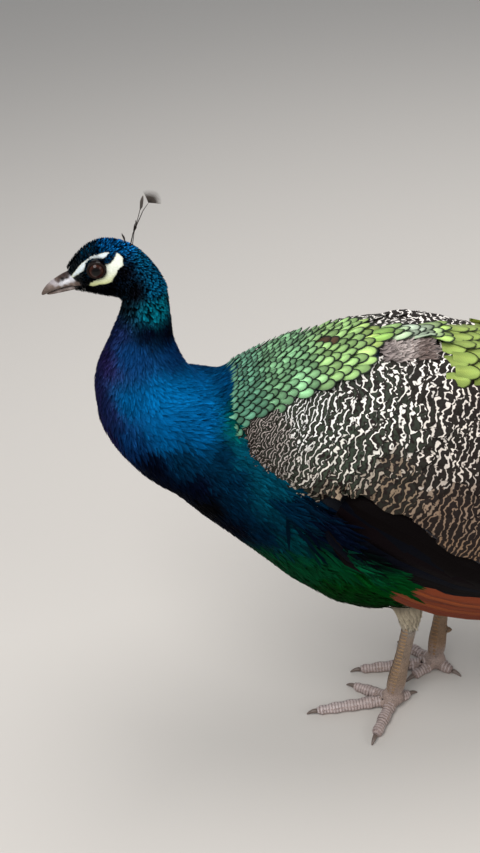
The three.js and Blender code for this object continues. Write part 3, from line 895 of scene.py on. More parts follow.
# Bare white skin of the face, in the side view
BROW = [(-129.6, 519.1), (-125.8, 523.6), (-120.5, 529.1), (-115.3, 532.9), (-110.8, 535.6), (-106.4, 537.2),
        (-101.2, 538), (-96, 538.6), (-94.8, 537.6), (-100.2, 534.4), (-104.5, 534.3), (-109.6, 534.6),
        (-113.2, 533.2), (-115.8, 530.8), (-117, 527), (-121, 523.4), (-124.4, 521.6), (-128.2, 519.1)]
CHEEK = [(-88.2, 537), (-83.6, 533.2), (-84.6, 529.6), (-84, 527.6), (-87.4, 525.8), (-90, 523.6), (-91, 520.8),
         (-93.8, 518.2), (-95.8, 514.6), (-101, 512.6), (-105.6, 512.4), (-112.4, 510.6), (-115.6, 511.2),
         (-113, 514.6), (-107.2, 516.6), (-102.4, 517.8), (-99.4, 521.6), (-98.4, 526.6), (-99, 529.6),
         (-94.2, 530), (-91.2, 532.8)]


def feather_front(z: Array) -> Array:
    """Returns the x behind which the face is feathered at each height, in millimetres."""
    heights = [506, 509, 511, 513.5, 515.5, 519, 523, 528]
    return np.interp(z, heights, [-131, -129, -122, -121.5, -126, -129.5, -133.5, -134])


def unwrap(points: Array) -> tuple[Array, Array]:
    """Lays points out by how far along the body they are and how far round it.

    Args:
        points: Places in the frame.

    Returns:
        The length along the middle line of the body, and the angle round it.
    """
    spots = millimetres(points)
    flat = spots[:, [0, 2]]
    starts, runs = SPINE_MM[:-1], np.diff(SPINE_MM, axis=0)
    lengths = np.linalg.norm(runs, axis=1)
    share = ((flat[:, None] - starts) * runs).sum(-1) / lengths**2
    share = np.clip(share, 0, 1)
    on = starts + share[..., None] * runs
    gap = np.linalg.norm(flat[:, None] - on, axis=-1)
    best = gap.argmin(1)
    rows = np.arange(len(flat))
    along = np.concatenate([[0], np.cumsum(lengths)])[best] + share[rows, best] * lengths[best]
    turned = np.stack([-runs[:, 1], runs[:, 0]], 1) / lengths[:, None]
    over = ((flat - on[rows, best]) * turned[best]).sum(1)
    return along, np.arctan2(spots[:, 1], over)


@dataclass
class Skin:
    """One closed skin under the whole coat, with the bare parts of the face and the legs.

    Attributes:
        voxel: How finely the body is made one shell.
        leg_voxel: The same for the legs.
        head_cuts: How often the head's faces are cut again, for its folds.
        piece: The finished skin.
        surface: The body's skin alone, for the coat to lie on.
        owners: The surfaces of the CAD nodes of flesh, by name.
    """

    voxel: float = 0.0036
    leg_voxel: float = 0.0016
    head_cuts: int = 3
    piece: Object | None = None
    surface: Surface | None = None
    owners: dict[str, Surface] = field(default_factory=dict)

    def build(self) -> Object:
        """Makes the skin from the CAD nodes of flesh and joins its parts."""
        body = merged_copy("skin", FLESH)
        apply_modifier(body, "REMESH", mode="VOXEL", voxel_size=self.voxel)
        apply_modifier(body, "SMOOTH", factor=0.5, iterations=6)
        self.draw_in(body)
        self.refine_head(body)
        self.shape_face(body)
        legs = merged_copy("legs", LEG_NODES)
        apply_modifier(legs, "REMESH", mode="VOXEL", voxel_size=self.leg_voxel)
        apply_modifier(legs, "SMOOTH", factor=0.5, iterations=3)
        self.knuckles(legs)
        legs.data.materials.append(LEG.material())
        body.data.materials.append(SKIN.material())
        self.surface = Surface([body.data])
        lids = self.lids()
        self.piece = join([body, legs, *lids])
        smooth_faces(self.piece.data)
        self.paint(self.piece)
        return finished(self.piece, "body_feathers", *FLESH[:5], *LEG_NODES)

    def knuckles(self, legs: Object) -> None:
        """Swells the toes at their joints, pinches them between and thickens the foot of the shank."""
        points, normals = coordinates(legs.data), vertex_normals(legs.data)
        spots = millimetres(points)
        swell = np.zeros(len(spots))
        for leg in LEGS:
            heel = np.array(leg.heel[:2])
            for tip in leg.tips.values():
                way = unit(np.array(tip) - heel)
                gap = spots[:, :2] - heel
                along = gap @ way
                off = np.abs(gap @ np.array([-way[1], way[0]]))
                on_toe = (spots[:, 2] < 14) & (off < 8) & (along > 12)
                swell = np.where(on_toe, 0.55 * np.sin((along - 8) * math.tau / 17), swell)
        swell *= np.clip(spots[:, 2] / 3, 0, 1)
        swell += 1.5 * np.exp(-(((spots[:, 2] - 38) / 20) ** 2)) * (spots[:, 2] > 14)
        move_vertices(legs.data, points + normals * swell[:, None] * MM)

    def draw_in(self, body: Object) -> None:
        """Moves the skin in by the depth of the coat: deep on the body, shallow on the head."""
        points, normals = coordinates(body.data), vertex_normals(body.data)
        spots = millimetres(points)
        depth = np.interp(spots[:, 2], [120, 150, 400, 470, 500, 520], [3, 5, 5, 3.2, 1.6, 1.1])
        depth = np.where(spots[:, 0] > -30, 5.0, depth)
        move_vertices(body.data, points - normals * depth[:, None] * MM)

    def refine_head(self, body: Object) -> None:
        """Cuts the head's faces finer and rounds them off."""
        select_only(body)
        bpy.ops.object.mode_set(mode="EDIT")
        bpy.ops.mesh.select_all(action="DESELECT")
        bpy.ops.object.mode_set(mode="OBJECT")
        centres = np.empty(len(body.data.polygons) * 3, np.float32)
        body.data.polygons.foreach_get("center", centres)
        spots = millimetres(centres.reshape(-1, 3))
        body.data.polygons.foreach_set("select", (spots[:, 2] > 492) & (spots[:, 0] < -40))
        bpy.ops.object.mode_set(mode="EDIT")
        bpy.ops.mesh.subdivide(number_cuts=self.head_cuts)
        bpy.ops.mesh.vertices_smooth(factor=0.5, repeat=8)
        bpy.ops.object.mode_set(mode="OBJECT")

    def shape_face(self, body: Object) -> None:
        """Raises the bare skin and sinks a ring round each eye."""
        points, normals = coordinates(body.data), vertex_normals(body.data)
        spots = millimetres(points)
        bare = face_marks(spots)[:, None] * 0.5
        reach = np.linalg.norm(spots[:, [0, 2]] - EYE_MM[[0, 2]], axis=1)
        ring = np.exp(-(((reach - 9.5) / 1.6) ** 2)) * (np.abs(spots[:, 1]) > 10)
        move_vertices(body.data, points + normals * MM * (bare - 0.5 * ring[:, None]))

    def lids(self) -> list[Object]:
        """Makes a folded lid round each eye, lying on the eyeball."""
        made = []
        for side in SIDES.values():
            bpy.ops.object.select_all(action="DESELECT")
            centre = metres(EYE_MM * (1, side, 1) + (0, side * 4.6, 0))
            bpy.ops.mesh.primitive_torus_add(
                location=centre, rotation=(math.pi / 2, 0, 0), major_radius=6.7 * MM, minor_radius=1.1 * MM,
                major_segments=48, minor_segments=10,
            )
            lid = bpy.context.object
            bpy.ops.object.transform_apply()
            points = coordinates(lid.data)
            away = points - centre
            away[:, 0] *= 1.08
            away[:, 2] *= 0.94
            move_vertices(lid.data, centre + away)
            lid.data.materials.append(LID.material())
            made.append(lid)
        return made

    def paint(self, piece: Object) -> None:
        """Gives the skin the coat's markings, halved as painted shade, and white to the bare face."""
        spots = millimetres(coordinates(piece.data))
        marks = BODY_COLOURS.at(spots)
        # Painted shade: the skin that shows between the feathers is half as bright as the coat
        marks[:, :3] *= 0.5
        wing = (spots[:, 0] > 5) & (spots[:, 2] < 402)
        marks[wing, :3] = linear("0a0d18")[:3]
        bare = face_marks(spots, 0.4)[:, None]
        share = np.interp(spots[:, 2:], [513, 524], [0, 1])
        white = np.array(linear("d2d69a")[:3]) * (1 - share) + np.array(linear("e8ebda")[:3]) * share
        # The brow's bluer grey is painted shade on the white skin
        white = np.where(inside(BROW, spots[:, 0], spots[:, 2])[:, None], linear("d6dfe0")[:3], white)
        marks[:, :3] = marks[:, :3] * (1 - bare) + white * bare
        horn = spots[:, 0] < feather_front(spots[:, 2]) - 0.6
        marks[horn] = BILL_COLOURS.at(spots[horn])
        shank = (spots[:, 2] < SHANK_TOP_MM) & (spots[:, 0] > 20)
        marks[shank] = LEG_COLOURS.at(spots[shank])
        stocking = (spots[:, 2] >= SHANK_TOP_MM) & (spots[:, 2] < STOCKING_TOP_MM)
        thigh = np.flatnonzero(stocking & (spots[:, 0] > 100))
        thigh = thigh[np.char.startswith(self.owner(metres(spots[thigh])), "thigh")]
        marks[thigh, :3] = linear("8a7c6a")[:3]
        set_attribute(piece.data, "Plumage", marks)

    def owner(self, points: Array) -> Array:
        """Tells which CAD node of flesh each point is nearest to."""
        gaps = []
        for node in FLESH:
            if node not in self.owners:
                self.owners[node] = cad_surface(node)
            found, _ = self.owners[node].nearest(points)
            gaps.append(np.linalg.norm(found - points, axis=1))
        return np.array(FLESH)[np.argmin(gaps, 0)]


def face_marks(spots: Array, grow: float = 0.0) -> Array:
    """Tells which points lie in the bare white skin of the face.

    Args:
        spots: Points in the bird's millimetres.
        grow: How far outside of its outlines still counts, in millimetres.

    Returns:
        One for bare skin and zero for feathered skin.
    """
    found = np.zeros(len(spots), bool)
    near = np.abs(spots[:, 1]) > 6
    for turn in np.arange(0, math.tau, math.tau / 8):
        x, z = spots[:, 0] + grow * math.cos(turn), spots[:, 2] + grow * math.sin(turn)
        for outline in (BROW, CHEEK):
            found |= inside(outline, x, z) & near
    return found.astype(float)


# ---------------------------------------------------------------- vanes: the shape of all feathers


class Outline(Enum):
    """The outlines of feathers and scutes: a wisp, a round scale, a flight feather, a plate or a hair."""

    WISP = ((0.0, 0.5), (0.4, 1.0), (0.75, 0.75), (1.0, 0.1))
    SCALE = ((0.0, 0.6), (0.35, 0.92), (0.55, 1.0), (0.72, 0.94), (0.85, 0.76), (0.94, 0.5), (1.0, 0.12))
    BLADE = (
        (0.0, 0.3), (0.06, 0.6), (0.15, 0.85), (0.3, 0.97), (0.45, 1.0), (0.6, 1.0), (0.75, 0.97),
        (0.86, 0.88), (0.93, 0.7), (0.98, 0.42), (1.0, 0.12),
    )
    PLATE = ((0.0, 0.6), (0.08, 0.92), (0.3, 1.0), (0.5, 1.0), (0.7, 1.0), (0.92, 0.92), (1.0, 0.6))
    HAIR = ((0.0, 1.0), (0.35, 0.85), (0.7, 0.6), (1.0, 0.1))

    def shares(self) -> Array:
        """Returns the stations along the feather."""
        return np.array([row[0] for row in self.value])

    def widths(self) -> Array:
        """Returns the half width at each station, against the widest."""
        return np.array([row[1] for row in self.value])


@dataclass
class Rails:
    """The middle lines of many feathers, with the way up at each of their stations."""

    points: Array
    normals: Array


@dataclass
class Vanes:
    """Many like feathers, woven into one mesh.

    Attributes:
        name: The piece's name.
        outline: The outline of each feather.
        columns: How many points it has from side to side.
        rails: Their middle lines.
        half_width: Half the width of each, in millimetres.
        length: The length of each, in millimetres.
        plumage: The colour and grade of each.
        chance: A random number from 0 to 1 for each.
        sink: How far the root lies over the rail, in millimetres.
        rise: How much higher the tip lies than the root, in millimetres.
        camber: How far the sides droop, as a share of the half width.
        roll: How far each is turned about its shaft, in radians.
        patch: The side of its square of the bake map, or None for as much as there is room for.
        marks: Gives each point its edge value, from its side, its share of the length and that length.
    """

    name: str
    outline: Outline
    columns: int
    rails: Rails
    half_width: Array
    length: Array
    plumage: Array
    chance: Array
    sink: float | Array = 0.5
    rise: float = 2.0
    camber: float = 0.25
    roll: Array | None = None
    patch: float | None = 0.003
    marks: Marks | None = None

    def frames(self) -> tuple[Array, Array]:
        """Returns the sideways and upward directions at every station."""
        ways = unit(np.gradient(self.rails.points, axis=1))
        sides = unit(np.cross(ways, self.rails.normals))
        ups = np.cross(sides, ways)
        if self.roll is not None:
            turn = self.roll[:, None, None]
            sides, ups = sides * np.cos(turn) + ups * np.sin(turn), ups * np.cos(turn) - sides * np.sin(turn)
        return sides, ups

    def weave(self) -> Object:
        """Makes the joined mesh with its attributes and bake map.

        Returns:
            The new object, without a material.
        """
        shares, widths = self.outline.shares(), self.outline.widths()
        spread = np.linspace(-1, 1, self.columns)
        sides, ups = self.frames()
        count = len(self.half_width)
        across = self.half_width[:, None, None] * widths[None, :, None] * spread[None, None, :]
        along = np.broadcast_to(self.length[:, None, None] * shares[None, :, None], across.shape)
        height = np.reshape(self.sink, (-1, 1, 1)) + self.rise * shares[None, :, None] ** 1.2
        height = height - self.camber * np.abs(across) * np.abs(spread)[None, None, :]
        height = height + (self.chance[:, None, None] - 0.5) * 0.5
        points = self.rails.points[:, :, None] + MM * (
            sides[:, :, None] * across[..., None] + ups[:, :, None] * height[..., None]
        )
        points[..., 2] = np.maximum(points[..., 2], FLOOR_GAP_M)
        side = np.broadcast_to(spread, across.shape)
        share = np.broadcast_to(shares[None, :, None], across.shape)
        past = np.clip((share - 0.45) / 0.55, 0, 1)
        wide = np.broadcast_to(widths[None, :, None], across.shape) * side
        edge = np.sqrt(wide**2 + past**2)
        if self.marks is not None:
            edge = self.marks(side, share, along)
        chance = np.broadcast_to(self.chance[:, None, None], across.shape)
        plumage = np.broadcast_to(self.plumage[:, None, None], (*across.shape, 4))
        mesh = self.grid_mesh(points, side, share)
        set_attribute(mesh, "Plumage", plumage)
        set_attribute(mesh, "Barbs", np.stack([across, along, chance], -1))
        set_attribute(mesh, "Vane", np.stack([side, share, edge], -1))
        LOG.info("%s: %d feathers", self.name, count)
        return add_object(self.name, mesh)

    def grid_mesh(self, points: Array, side: Array, share: Array) -> bpy.types.Mesh:
        """Builds the quads of all feathers, each a grid of points, with the bake map."""
        grid = np.arange(side.size).reshape(side.shape)
        corners = [grid[:, :-1, :-1], grid[:, :-1, 1:], grid[:, 1:, 1:], grid[:, 1:, :-1]]
        quads = np.stack(corners, -1).reshape(-1, 4)
        mesh = bpy.data.meshes.new(self.name)
        mesh.vertices.add(side.size)
        mesh.vertices.foreach_set("co", points.astype(np.float32).ravel())
        mesh.loops.add(quads.size)
        mesh.loops.foreach_set("vertex_index", quads.astype(np.int32).ravel())
        mesh.polygons.add(len(quads))
        mesh.polygons.foreach_set("loop_start", np.arange(0, quads.size, 4, dtype=np.int32))
        mesh.polygons.foreach_set("loop_total", np.full(len(quads), 4, np.int32))
        mesh.update(calc_edges=True)
        smooth_faces(mesh)
        corner, patch = bake_squares(*unwrap(self.rails.points[:, 0]), self.patch)
        spot = np.stack([side * 0.5 + 0.5, share], -1) * patch + corner[:, None, None]
        uv = mesh.uv_layers.new(name=BAKE_MAP)
        uv.data.foreach_set("uv", spot.reshape(-1, 2)[quads.ravel()].astype(np.float32).ravel())
        return mesh


def bake_squares(along: Array, around: Array, patch: float | None) -> tuple[Array, float]:
    """Gives every feather a square of the bake map, in the order of its root on the unwrap.

    Args:
        along: How far along the body each root is.
        around: How far round the body each root is.
        patch: The square's side, or None for nine tenths of the room that each has.

    Returns:
        The low corner of each square, and the side of them all.
    """
    side = math.ceil(math.sqrt(len(along)))
    row = np.argsort(np.argsort(along, kind="stable"), kind="stable") // side
    order = np.lexsort((around, row))
    column = np.empty(len(along), int)
    column[order] = np.arange(len(along)) % side
    room = 1 / side
    size = min(patch or 1.0, room * 0.9)
    corner = (np.stack([column, row], 1) + 0.5) * room - size / 2
    return corner, size


# ---------------------------------------------------------------- laying tracts of feathers


def marched(ground: Surface, roots: Array, lengths: Array, outline: Outline, heading: Region) -> Rails:
    """Runs each feather's middle line over a surface.

    Args:
        ground: The surface.
        roots: Where the feathers start.
        lengths: Their lengths in millimetres.
        outline: The outline, whose stations the lines have.
        heading: Gives the way on at places with the normals there.

    Returns:
        The middle lines.
    """
    points, normals, at, last = [], [], roots, 0.0
    for k, share in enumerate(outline.shares()):
        if k:
            at = at + way * (lengths * (share - last) * MM)[:, None]
        at, up = ground.nearest(at)
        way = heading(at, up)
        points.append(at)
        normals.append(up)
        last = share
    return Rails(np.stack(points, 1), np.stack(normals, 1))


@dataclass
class Coat:
    """Lays tracts of feathers on the skin."""

    skin: Skin
    rng: np.random.Generator

    def scatter(self, pitch: float, region: Region) -> Array:
        """Spreads roots evenly over a part of the skin.

        Args:
            pitch: The distance between roots, in millimetres.
            region: Tells from points in millimetres and normals which of them belong.

        Returns:
            The roots.
        """
        mesh = self.skin.piece.data
        mesh.calc_loop_triangles()
        corners = np.empty(len(mesh.loop_triangles) * 3, np.int32)
        mesh.loop_triangles.foreach_get("vertices", corners)
        points = coordinates(mesh)[corners.reshape(-1, 3)]
        normals = vertex_normals(mesh)[corners.reshape(-1, 3)]
        middles = points.mean(1)
        points = points[region(millimetres(middles), unit(normals.mean(1)))]
        area = np.linalg.norm(np.cross(points[:, 1] - points[:, 0], points[:, 2] - points[:, 0]), axis=1) / 2
        count = int(area.sum() / (pitch * MM) ** 2 * 7)
        which = self.rng.choice(len(area), count, p=area / area.sum())
        mix = self.rng.dirichlet((1, 1, 1), count)[..., None]
        roots = (points[which] * mix).sum(1)
        _, first = np.unique(np.floor(roots / (pitch * MM)).astype(int), axis=0, return_index=True)
        return roots[first]

    def tract(
        self, name: str, pitch: float, region: Region, length: Measure, slimness: float, colours: Colours,
        lie: Lie = BODY_LIE, outline: Outline = Outline.WISP, columns: int = 3, jitter: float = 0.18,
        clear: Measure | None = None, **shape: object,
    ) -> Vanes:
        """Plans a tract of feathers that are scattered over a region.

        Args:
            name: The piece's name.
            pitch: The distance between roots, in millimetres.
            region: Tells which points belong.
            length: Gives each feather's length from its root's place, in millimetres.
            slimness: Length over half width.
            colours: The colours over the region.
            lie: The way that the coat lies.
            outline: The feather's outline.
            columns: How many points it has from side to side.
            jitter: How far feathers turn from the lie, in radians.
            clear: Tells which tips, in millimetres, lie where no feather may end.
            **shape: The rest of what Vanes takes.

        Returns:
            The vanes, ready to weave.
        """
        roots = self.scatter(pitch, region)
        count = len(roots)
        spots = millimetres(roots)
        lengths = length(spots) * self.rng.uniform(0.82, 1.15, count)
        yaw = self.rng.normal(0, jitter, count)[:, None]

        def heading(at: Array, up: Array) -> Array:
            """Returns the way that the coat lies, turned by each feather's own yaw."""
            flat = lie.at(millimetres(at), up)
            return flat * np.cos(yaw) + np.cross(flat, up) * np.sin(yaw)

        rails = marched(self.skin.surface, roots, lengths, outline, heading)
        if clear is not None:
            kept = ~clear(millimetres(rails.points[:, -1]))
            rails = Rails(rails.points[kept], rails.normals[kept])
            lengths, spots, count = lengths[kept], spots[kept], int(kept.sum())
        return Vanes(
            name, outline, columns, rails, lengths / slimness, lengths, colours.at(spots),
            self.rng.uniform(0, 1, count), roll=self.rng.normal(0, 0.12, count), **shape,
        )

    def lay(self, finish: Finish, slot: str, *plan: object, **shape: object) -> Object:
        """Lays a tract in a finish: the plan and shape are what a tract takes."""
        return dressed(self.tract(*plan, **shape), finish, slot)


def dressed(
    vanes: Vanes, finish: Finish, slot: str, *nodes: str, solid: tuple[float, float] | None = None
) -> Object:
    """Weaves a tract, gives it its finish and lets it ride on the body.

    Args:
        vanes: The feathers.
        finish: What they are made of.
        slot: The record's material slot.
        *nodes: The CAD nodes that they stand for.
        solid: Their thickness in millimetres and the side that it grows to, for stiff ones.

    Returns:
        The piece.
    """
    piece = vanes.weave()
    if solid:
        apply_modifier(piece, "SOLIDIFY", thickness=solid[0] * MM, offset=solid[1])
    piece.data.materials.append(finish.material())
    return finished(piece, slot, *nodes)


# ---------------------------------------------------------------- the body's plumage

# How far from the middle the mantle reaches at each x, and other patches of the back seen from above
MANTLE_EDGE = [(-6, 55), (6, 60), (18, 60), (45, 58), (65, 57), (101, 54), (118, 48), (125, 34), (129, 0)]
# The right wing's feathers cover more of the mantle than the left wing's
MANTLE_FAR_EDGE = [(-6, 55), (6, 60), (50, 58), (75, 36), (116, 20), (123, 0)]
STRIP = [(126, -23), (160, -24), (184, -30), (184, 6), (160, -6), (126, -4)]
DOWN_PATCH = [(126, -26), (150, -24), (172, -29), (170, -44), (150, -46), (130, -44)]
RUMP_PATCH = [(178, -10), (175, -34), (177, -50), (181, -60), (215, -62), (262, -70), (262, 50), (240, 34),
              (212, 22), (196, 11), (184, 5)]


def mantle_half(x: Array, far: Array | bool = False) -> Array:
    """Returns how far from the middle the mantle reaches.

    Args:
        x: The stations, in millimetres.
        far: Which of them are on the right side.

    Returns:
        The reach in millimetres.
    """
    near_x, near_y = zip(*MANTLE_EDGE)
    far_x, far_y = zip(*MANTLE_FAR_EDGE)
    return np.where(far, np.interp(x, far_x, far_y, right=-9), np.interp(x, near_x, near_y, right=-9))


@dataclass
class BodyPlumage:
    """The blue and green coat of head, neck, breast, flanks and thighs."""

    coat: Coat
    hull: Surface

    def on_wing(self, spots: Array) -> Array:
        """Tells which points belong to the folded wing or the mantle and the back behind it."""
        back = (spots[:, 0] > -3) & (np.abs(spots[:, 1]) < 70) & (spots[:, 2] > 375)
        behind = spots[:, 0] > wing_front(spots[:, 2])
        return back | (behind & (spots[:, 2] > 150) & (np.abs(spots[:, 1]) > 40))

    def build(self) -> None:
        """Lays the tracts from the face to the thighs."""
        self.face()
        self.neck()
        self.breast()
        self.belly()
        self.vent()
        self.fringe()
        self.thighs()

    def fringe(self) -> None:
        """Lays the long loose feathers of the flank that hang over the edge of the wing."""
        rng = self.coat.rng
        count = 620
        z = rng.uniform(238, 332, count)
        x = wing_front(z) + rng.uniform(-30, 12, count)
        lengths = rng.uniform(18, 42, count)
        fall = rng.normal(-0.6, 0.28, count)
        run = lengths[:, None] * Outline.WISP.shares()
        x, z = x[:, None] + run * np.cos(fall)[:, None], z[:, None] + run * np.sin(fall)[:, None]
        y = left_side(self.hull, x.ravel(), z.ravel()).reshape(x.shape)
        left = np.stack([x, y, z], -1)
        sign = rng.choice(list(SIDES.values()), count)[:, None, None]
        turned = np.concatenate([np.ones_like(sign), -sign, np.ones_like(sign)], 2)
        ups = np.broadcast_to((0.0, -0.98, 0.17), left.shape) * turned
        vanes = Vanes(
            "flank_fringe", Outline.WISP, 3, Rails(metres(left * turned), ups), lengths / 19.0, lengths,
            BODY_COLOURS.at(left[:, 0]), rng.uniform(0, 1, count), sink=0.4, rise=4.5, camber=0.2,
        )
        dressed(vanes, SILK, "body_feathers")

    def face(self) -> None:
        """Lays the short crisp feathers of the head, clear of the bare skin and the eyes."""

        def region(spots: Array, normals: Array) -> Array:
            """Tells which points are head, but not bare skin, eye or bill."""
            reach = np.linalg.norm(spots[:, [0, 2]] - EYE_MM[[0, 2]], axis=1)
            open_skin = (face_marks(spots) > 0) | ((reach < 8.2) & (np.abs(spots[:, 1]) > 8))
            behind = spots[:, 0] > feather_front(spots[:, 2])
            return (spots[:, 2] > 500) & (spots[:, 0] < -45) & behind & ~open_skin

        self.coat.lay(
            VELVET, "blue_feathers", "head_feathers", 1.3, region,
            lambda s: np.interp(s[:, 0], [-130, -70, -50], [2.2, 3.6, 4.6]), 3.2, BODY_COLOURS, jitter=0.35,
            sink=0.6, rise=2.5, camber=0.3, clear=lambda tips: face_marks(tips, -0.3) > 0,
        )

    def neck(self) -> None:
        """Lays the scaly feathers of the upper neck and the silky ones under them."""

        def upper(spots: Array, normals: Array) -> Array:
            """Tells which points are upper neck."""
            return (spots[:, 2] > 472) & (spots[:, 2] <= 503) & (spots[:, 0] < -30)

        def lower(spots: Array, normals: Array) -> Array:
            """Tells which points are lower neck."""
            return (spots[:, 2] > 395) & (spots[:, 2] <= 478) & (spots[:, 0] < -20)

        self.coat.lay(
            VELVET, "blue_feathers", "nape_feathers", 1.9, upper,
            lambda s: np.interp(s[:, 2], [455, 505], [7.5, 4.6]), 3.8, BODY_COLOURS, jitter=0.25, sink=0.6,
            rise=1.8, camber=0.3,
        )
        self.coat.lay(
            SILK, "blue_feathers", "neck_feathers", 2.3, lower, lambda s: np.interp(s[:, 2], [390, 460], [16, 9]),
            7.0, BODY_COLOURS, sink=0.8, rise=2.4, camber=0.2, jitter=0.14,
        )

    def breast(self) -> None:
        """Lays the silky feathers of breast and shoulder."""

        def region(spots: Array, normals: Array) -> Array:
            """Tells which points are breast or shoulder."""
            front = (spots[:, 2] <= 398) & (spots[:, 0] < 10 + (spots[:, 2] - 300) * 0.1)
            return front & ~self.on_wing(spots)

        self.coat.lay(
            SILK, "body_feathers", "breast_feathers", 3.0, region,
            lambda s: np.interp(s[:, 2], [260, 395], [24, 17]), 8.0, BODY_COLOURS, sink=1.6, rise=2.8, camber=0.2,
            jitter=0.14,
        )

    def belly(self) -> None:
        """Lays the looser feathers of flank, belly and vent."""

        def region(spots: Array, normals: Array) -> Array:
            """Tells which points are flank or belly."""
            aft = (spots[:, 0] >= 6 + (spots[:, 2] - 300) * 0.1) & (spots[:, 2] < 400) & (spots[:, 2] > 136)
            shell = (np.abs(spots[:, 1]) > 70) & (spots[:, 0] > 150)
            stocking = (spots[:, 0] > 128) & (spots[:, 2] < np.interp(spots[:, 0], [185, 200], [160, 178]))
            stocking &= np.abs(spots[:, 1]) > 16
            return aft & ~self.on_wing(spots) & ~shell & ~stocking

        self.coat.lay(
            SILK, "body_feathers", "belly_feathers", 4.2, region, lambda s: np.full(len(s), 30.0), 9.0,
            BODY_COLOURS, sink=1.4, rise=3.6, camber=0.2, jitter=0.24,
            clear=lambda tips: (tips[:, 2] < 156) & (tips[:, 0] > 112) & (np.abs(tips[:, 1]) > 16),
        )

    def vent(self) -> None:
        """Lays the dark down at the rear end of the body, between the wings and under the train."""

        def region(spots: Array, normals: Array) -> Array:
            """Tells which points are the body's rear end."""
            return (spots[:, 0] > 232) & (spots[:, 2] < 402) & (spots[:, 2] > 150)

        dark = Colours(((230, 380, "171210"), (300, 300, "1c1613")))
        self.coat.lay(
            DOWN, "body_feathers", "vent_down", 6.5, region, lambda s: np.full(len(s), 26.0), 5.0, dark, sink=0.5,
            rise=3.0, jitter=0.4,
        )

    def thighs(self) -> None:
        """Lays the short buff feathers that end over the shank."""
        owner = self.coat.skin.owner

        def region(spots: Array, normals: Array) -> Array:
            """Tells which points are thigh."""
            low = (spots[:, 2] > 117) & (spots[:, 2] < 182) & (spots[:, 0] > 100)
            found = np.zeros(len(spots), bool)
            names = owner(metres(spots[low]))
            found[low] = np.char.startswith(names, "thigh")
            return found

        buff = Colours(((150, 120, "a29886"), (150, 150, "a0947f"), (150, 172, "8a7c6a")))
        vanes = self.coat.tract(
            "thigh_feathers", 2.6, region, lambda s: np.full(len(s), 18.0), 6.5, buff, sink=0.8, rise=0.8
        )
        self.hang(vanes)
        dressed(vanes, DOWN, "thigh_feathers")

    def hang(self, vanes: Vanes) -> None:
        """Lets the thigh's feathers hang straight down and close round the shank."""
        roots, ups = vanes.rails.points[:, 0], vanes.rails.normals[:, 0]
        spots = millimetres(roots)
        targets = np.empty_like(spots)
        for leg in LEGS:
            ankle, heel = np.array(leg.ankle), np.array(leg.heel)
            mine = np.sign(spots[:, 1]) == np.sign(ankle[1])
            low = spots[mine, 2] - 24
            axis = ankle + (heel - ankle) * ((ankle[2] - low) / (ankle[2] - heel[2]))[:, None]
            out = (spots[mine] - axis) * (1, 1, 0)
            targets[mine] = axis + unit(out) * 9.5
        way = unit(targets - spots)
        run = vanes.outline.shares()[None, :, None] * vanes.length[:, None, None] * MM
        vanes.rails = Rails(roots[:, None] + way[:, None] * run, np.repeat(ups[:, None], run.shape[1], 1))


def left_side(hull: Surface, x: Array, z: Array) -> Array:
    """Returns the y of the body's left side at places in the side view, in millimetres."""
    starts = metres(np.column_stack([x, np.full(len(x), -400.0), z]))
    met, hits = hull.meet(starts, (0, 1, 0))
    out = np.full(len(x), np.nan)
    out[met] = np.where(hits[:, 1] < -0.05, hits[:, 1] / MM, np.nan)
    known = ~np.isnan(out)
    rows = np.arange(len(out))
    return np.interp(rows, rows[known], out[known])


def wing_front(z: Array) -> Array:
    """Returns the x of the front edge of the folded wing at each height, in millimetres."""
    return np.interp(z, [205, 242, 292, 333, 354, 371, 384, 402], [190, 112, 72, 44, 14, -6, -7, -6])


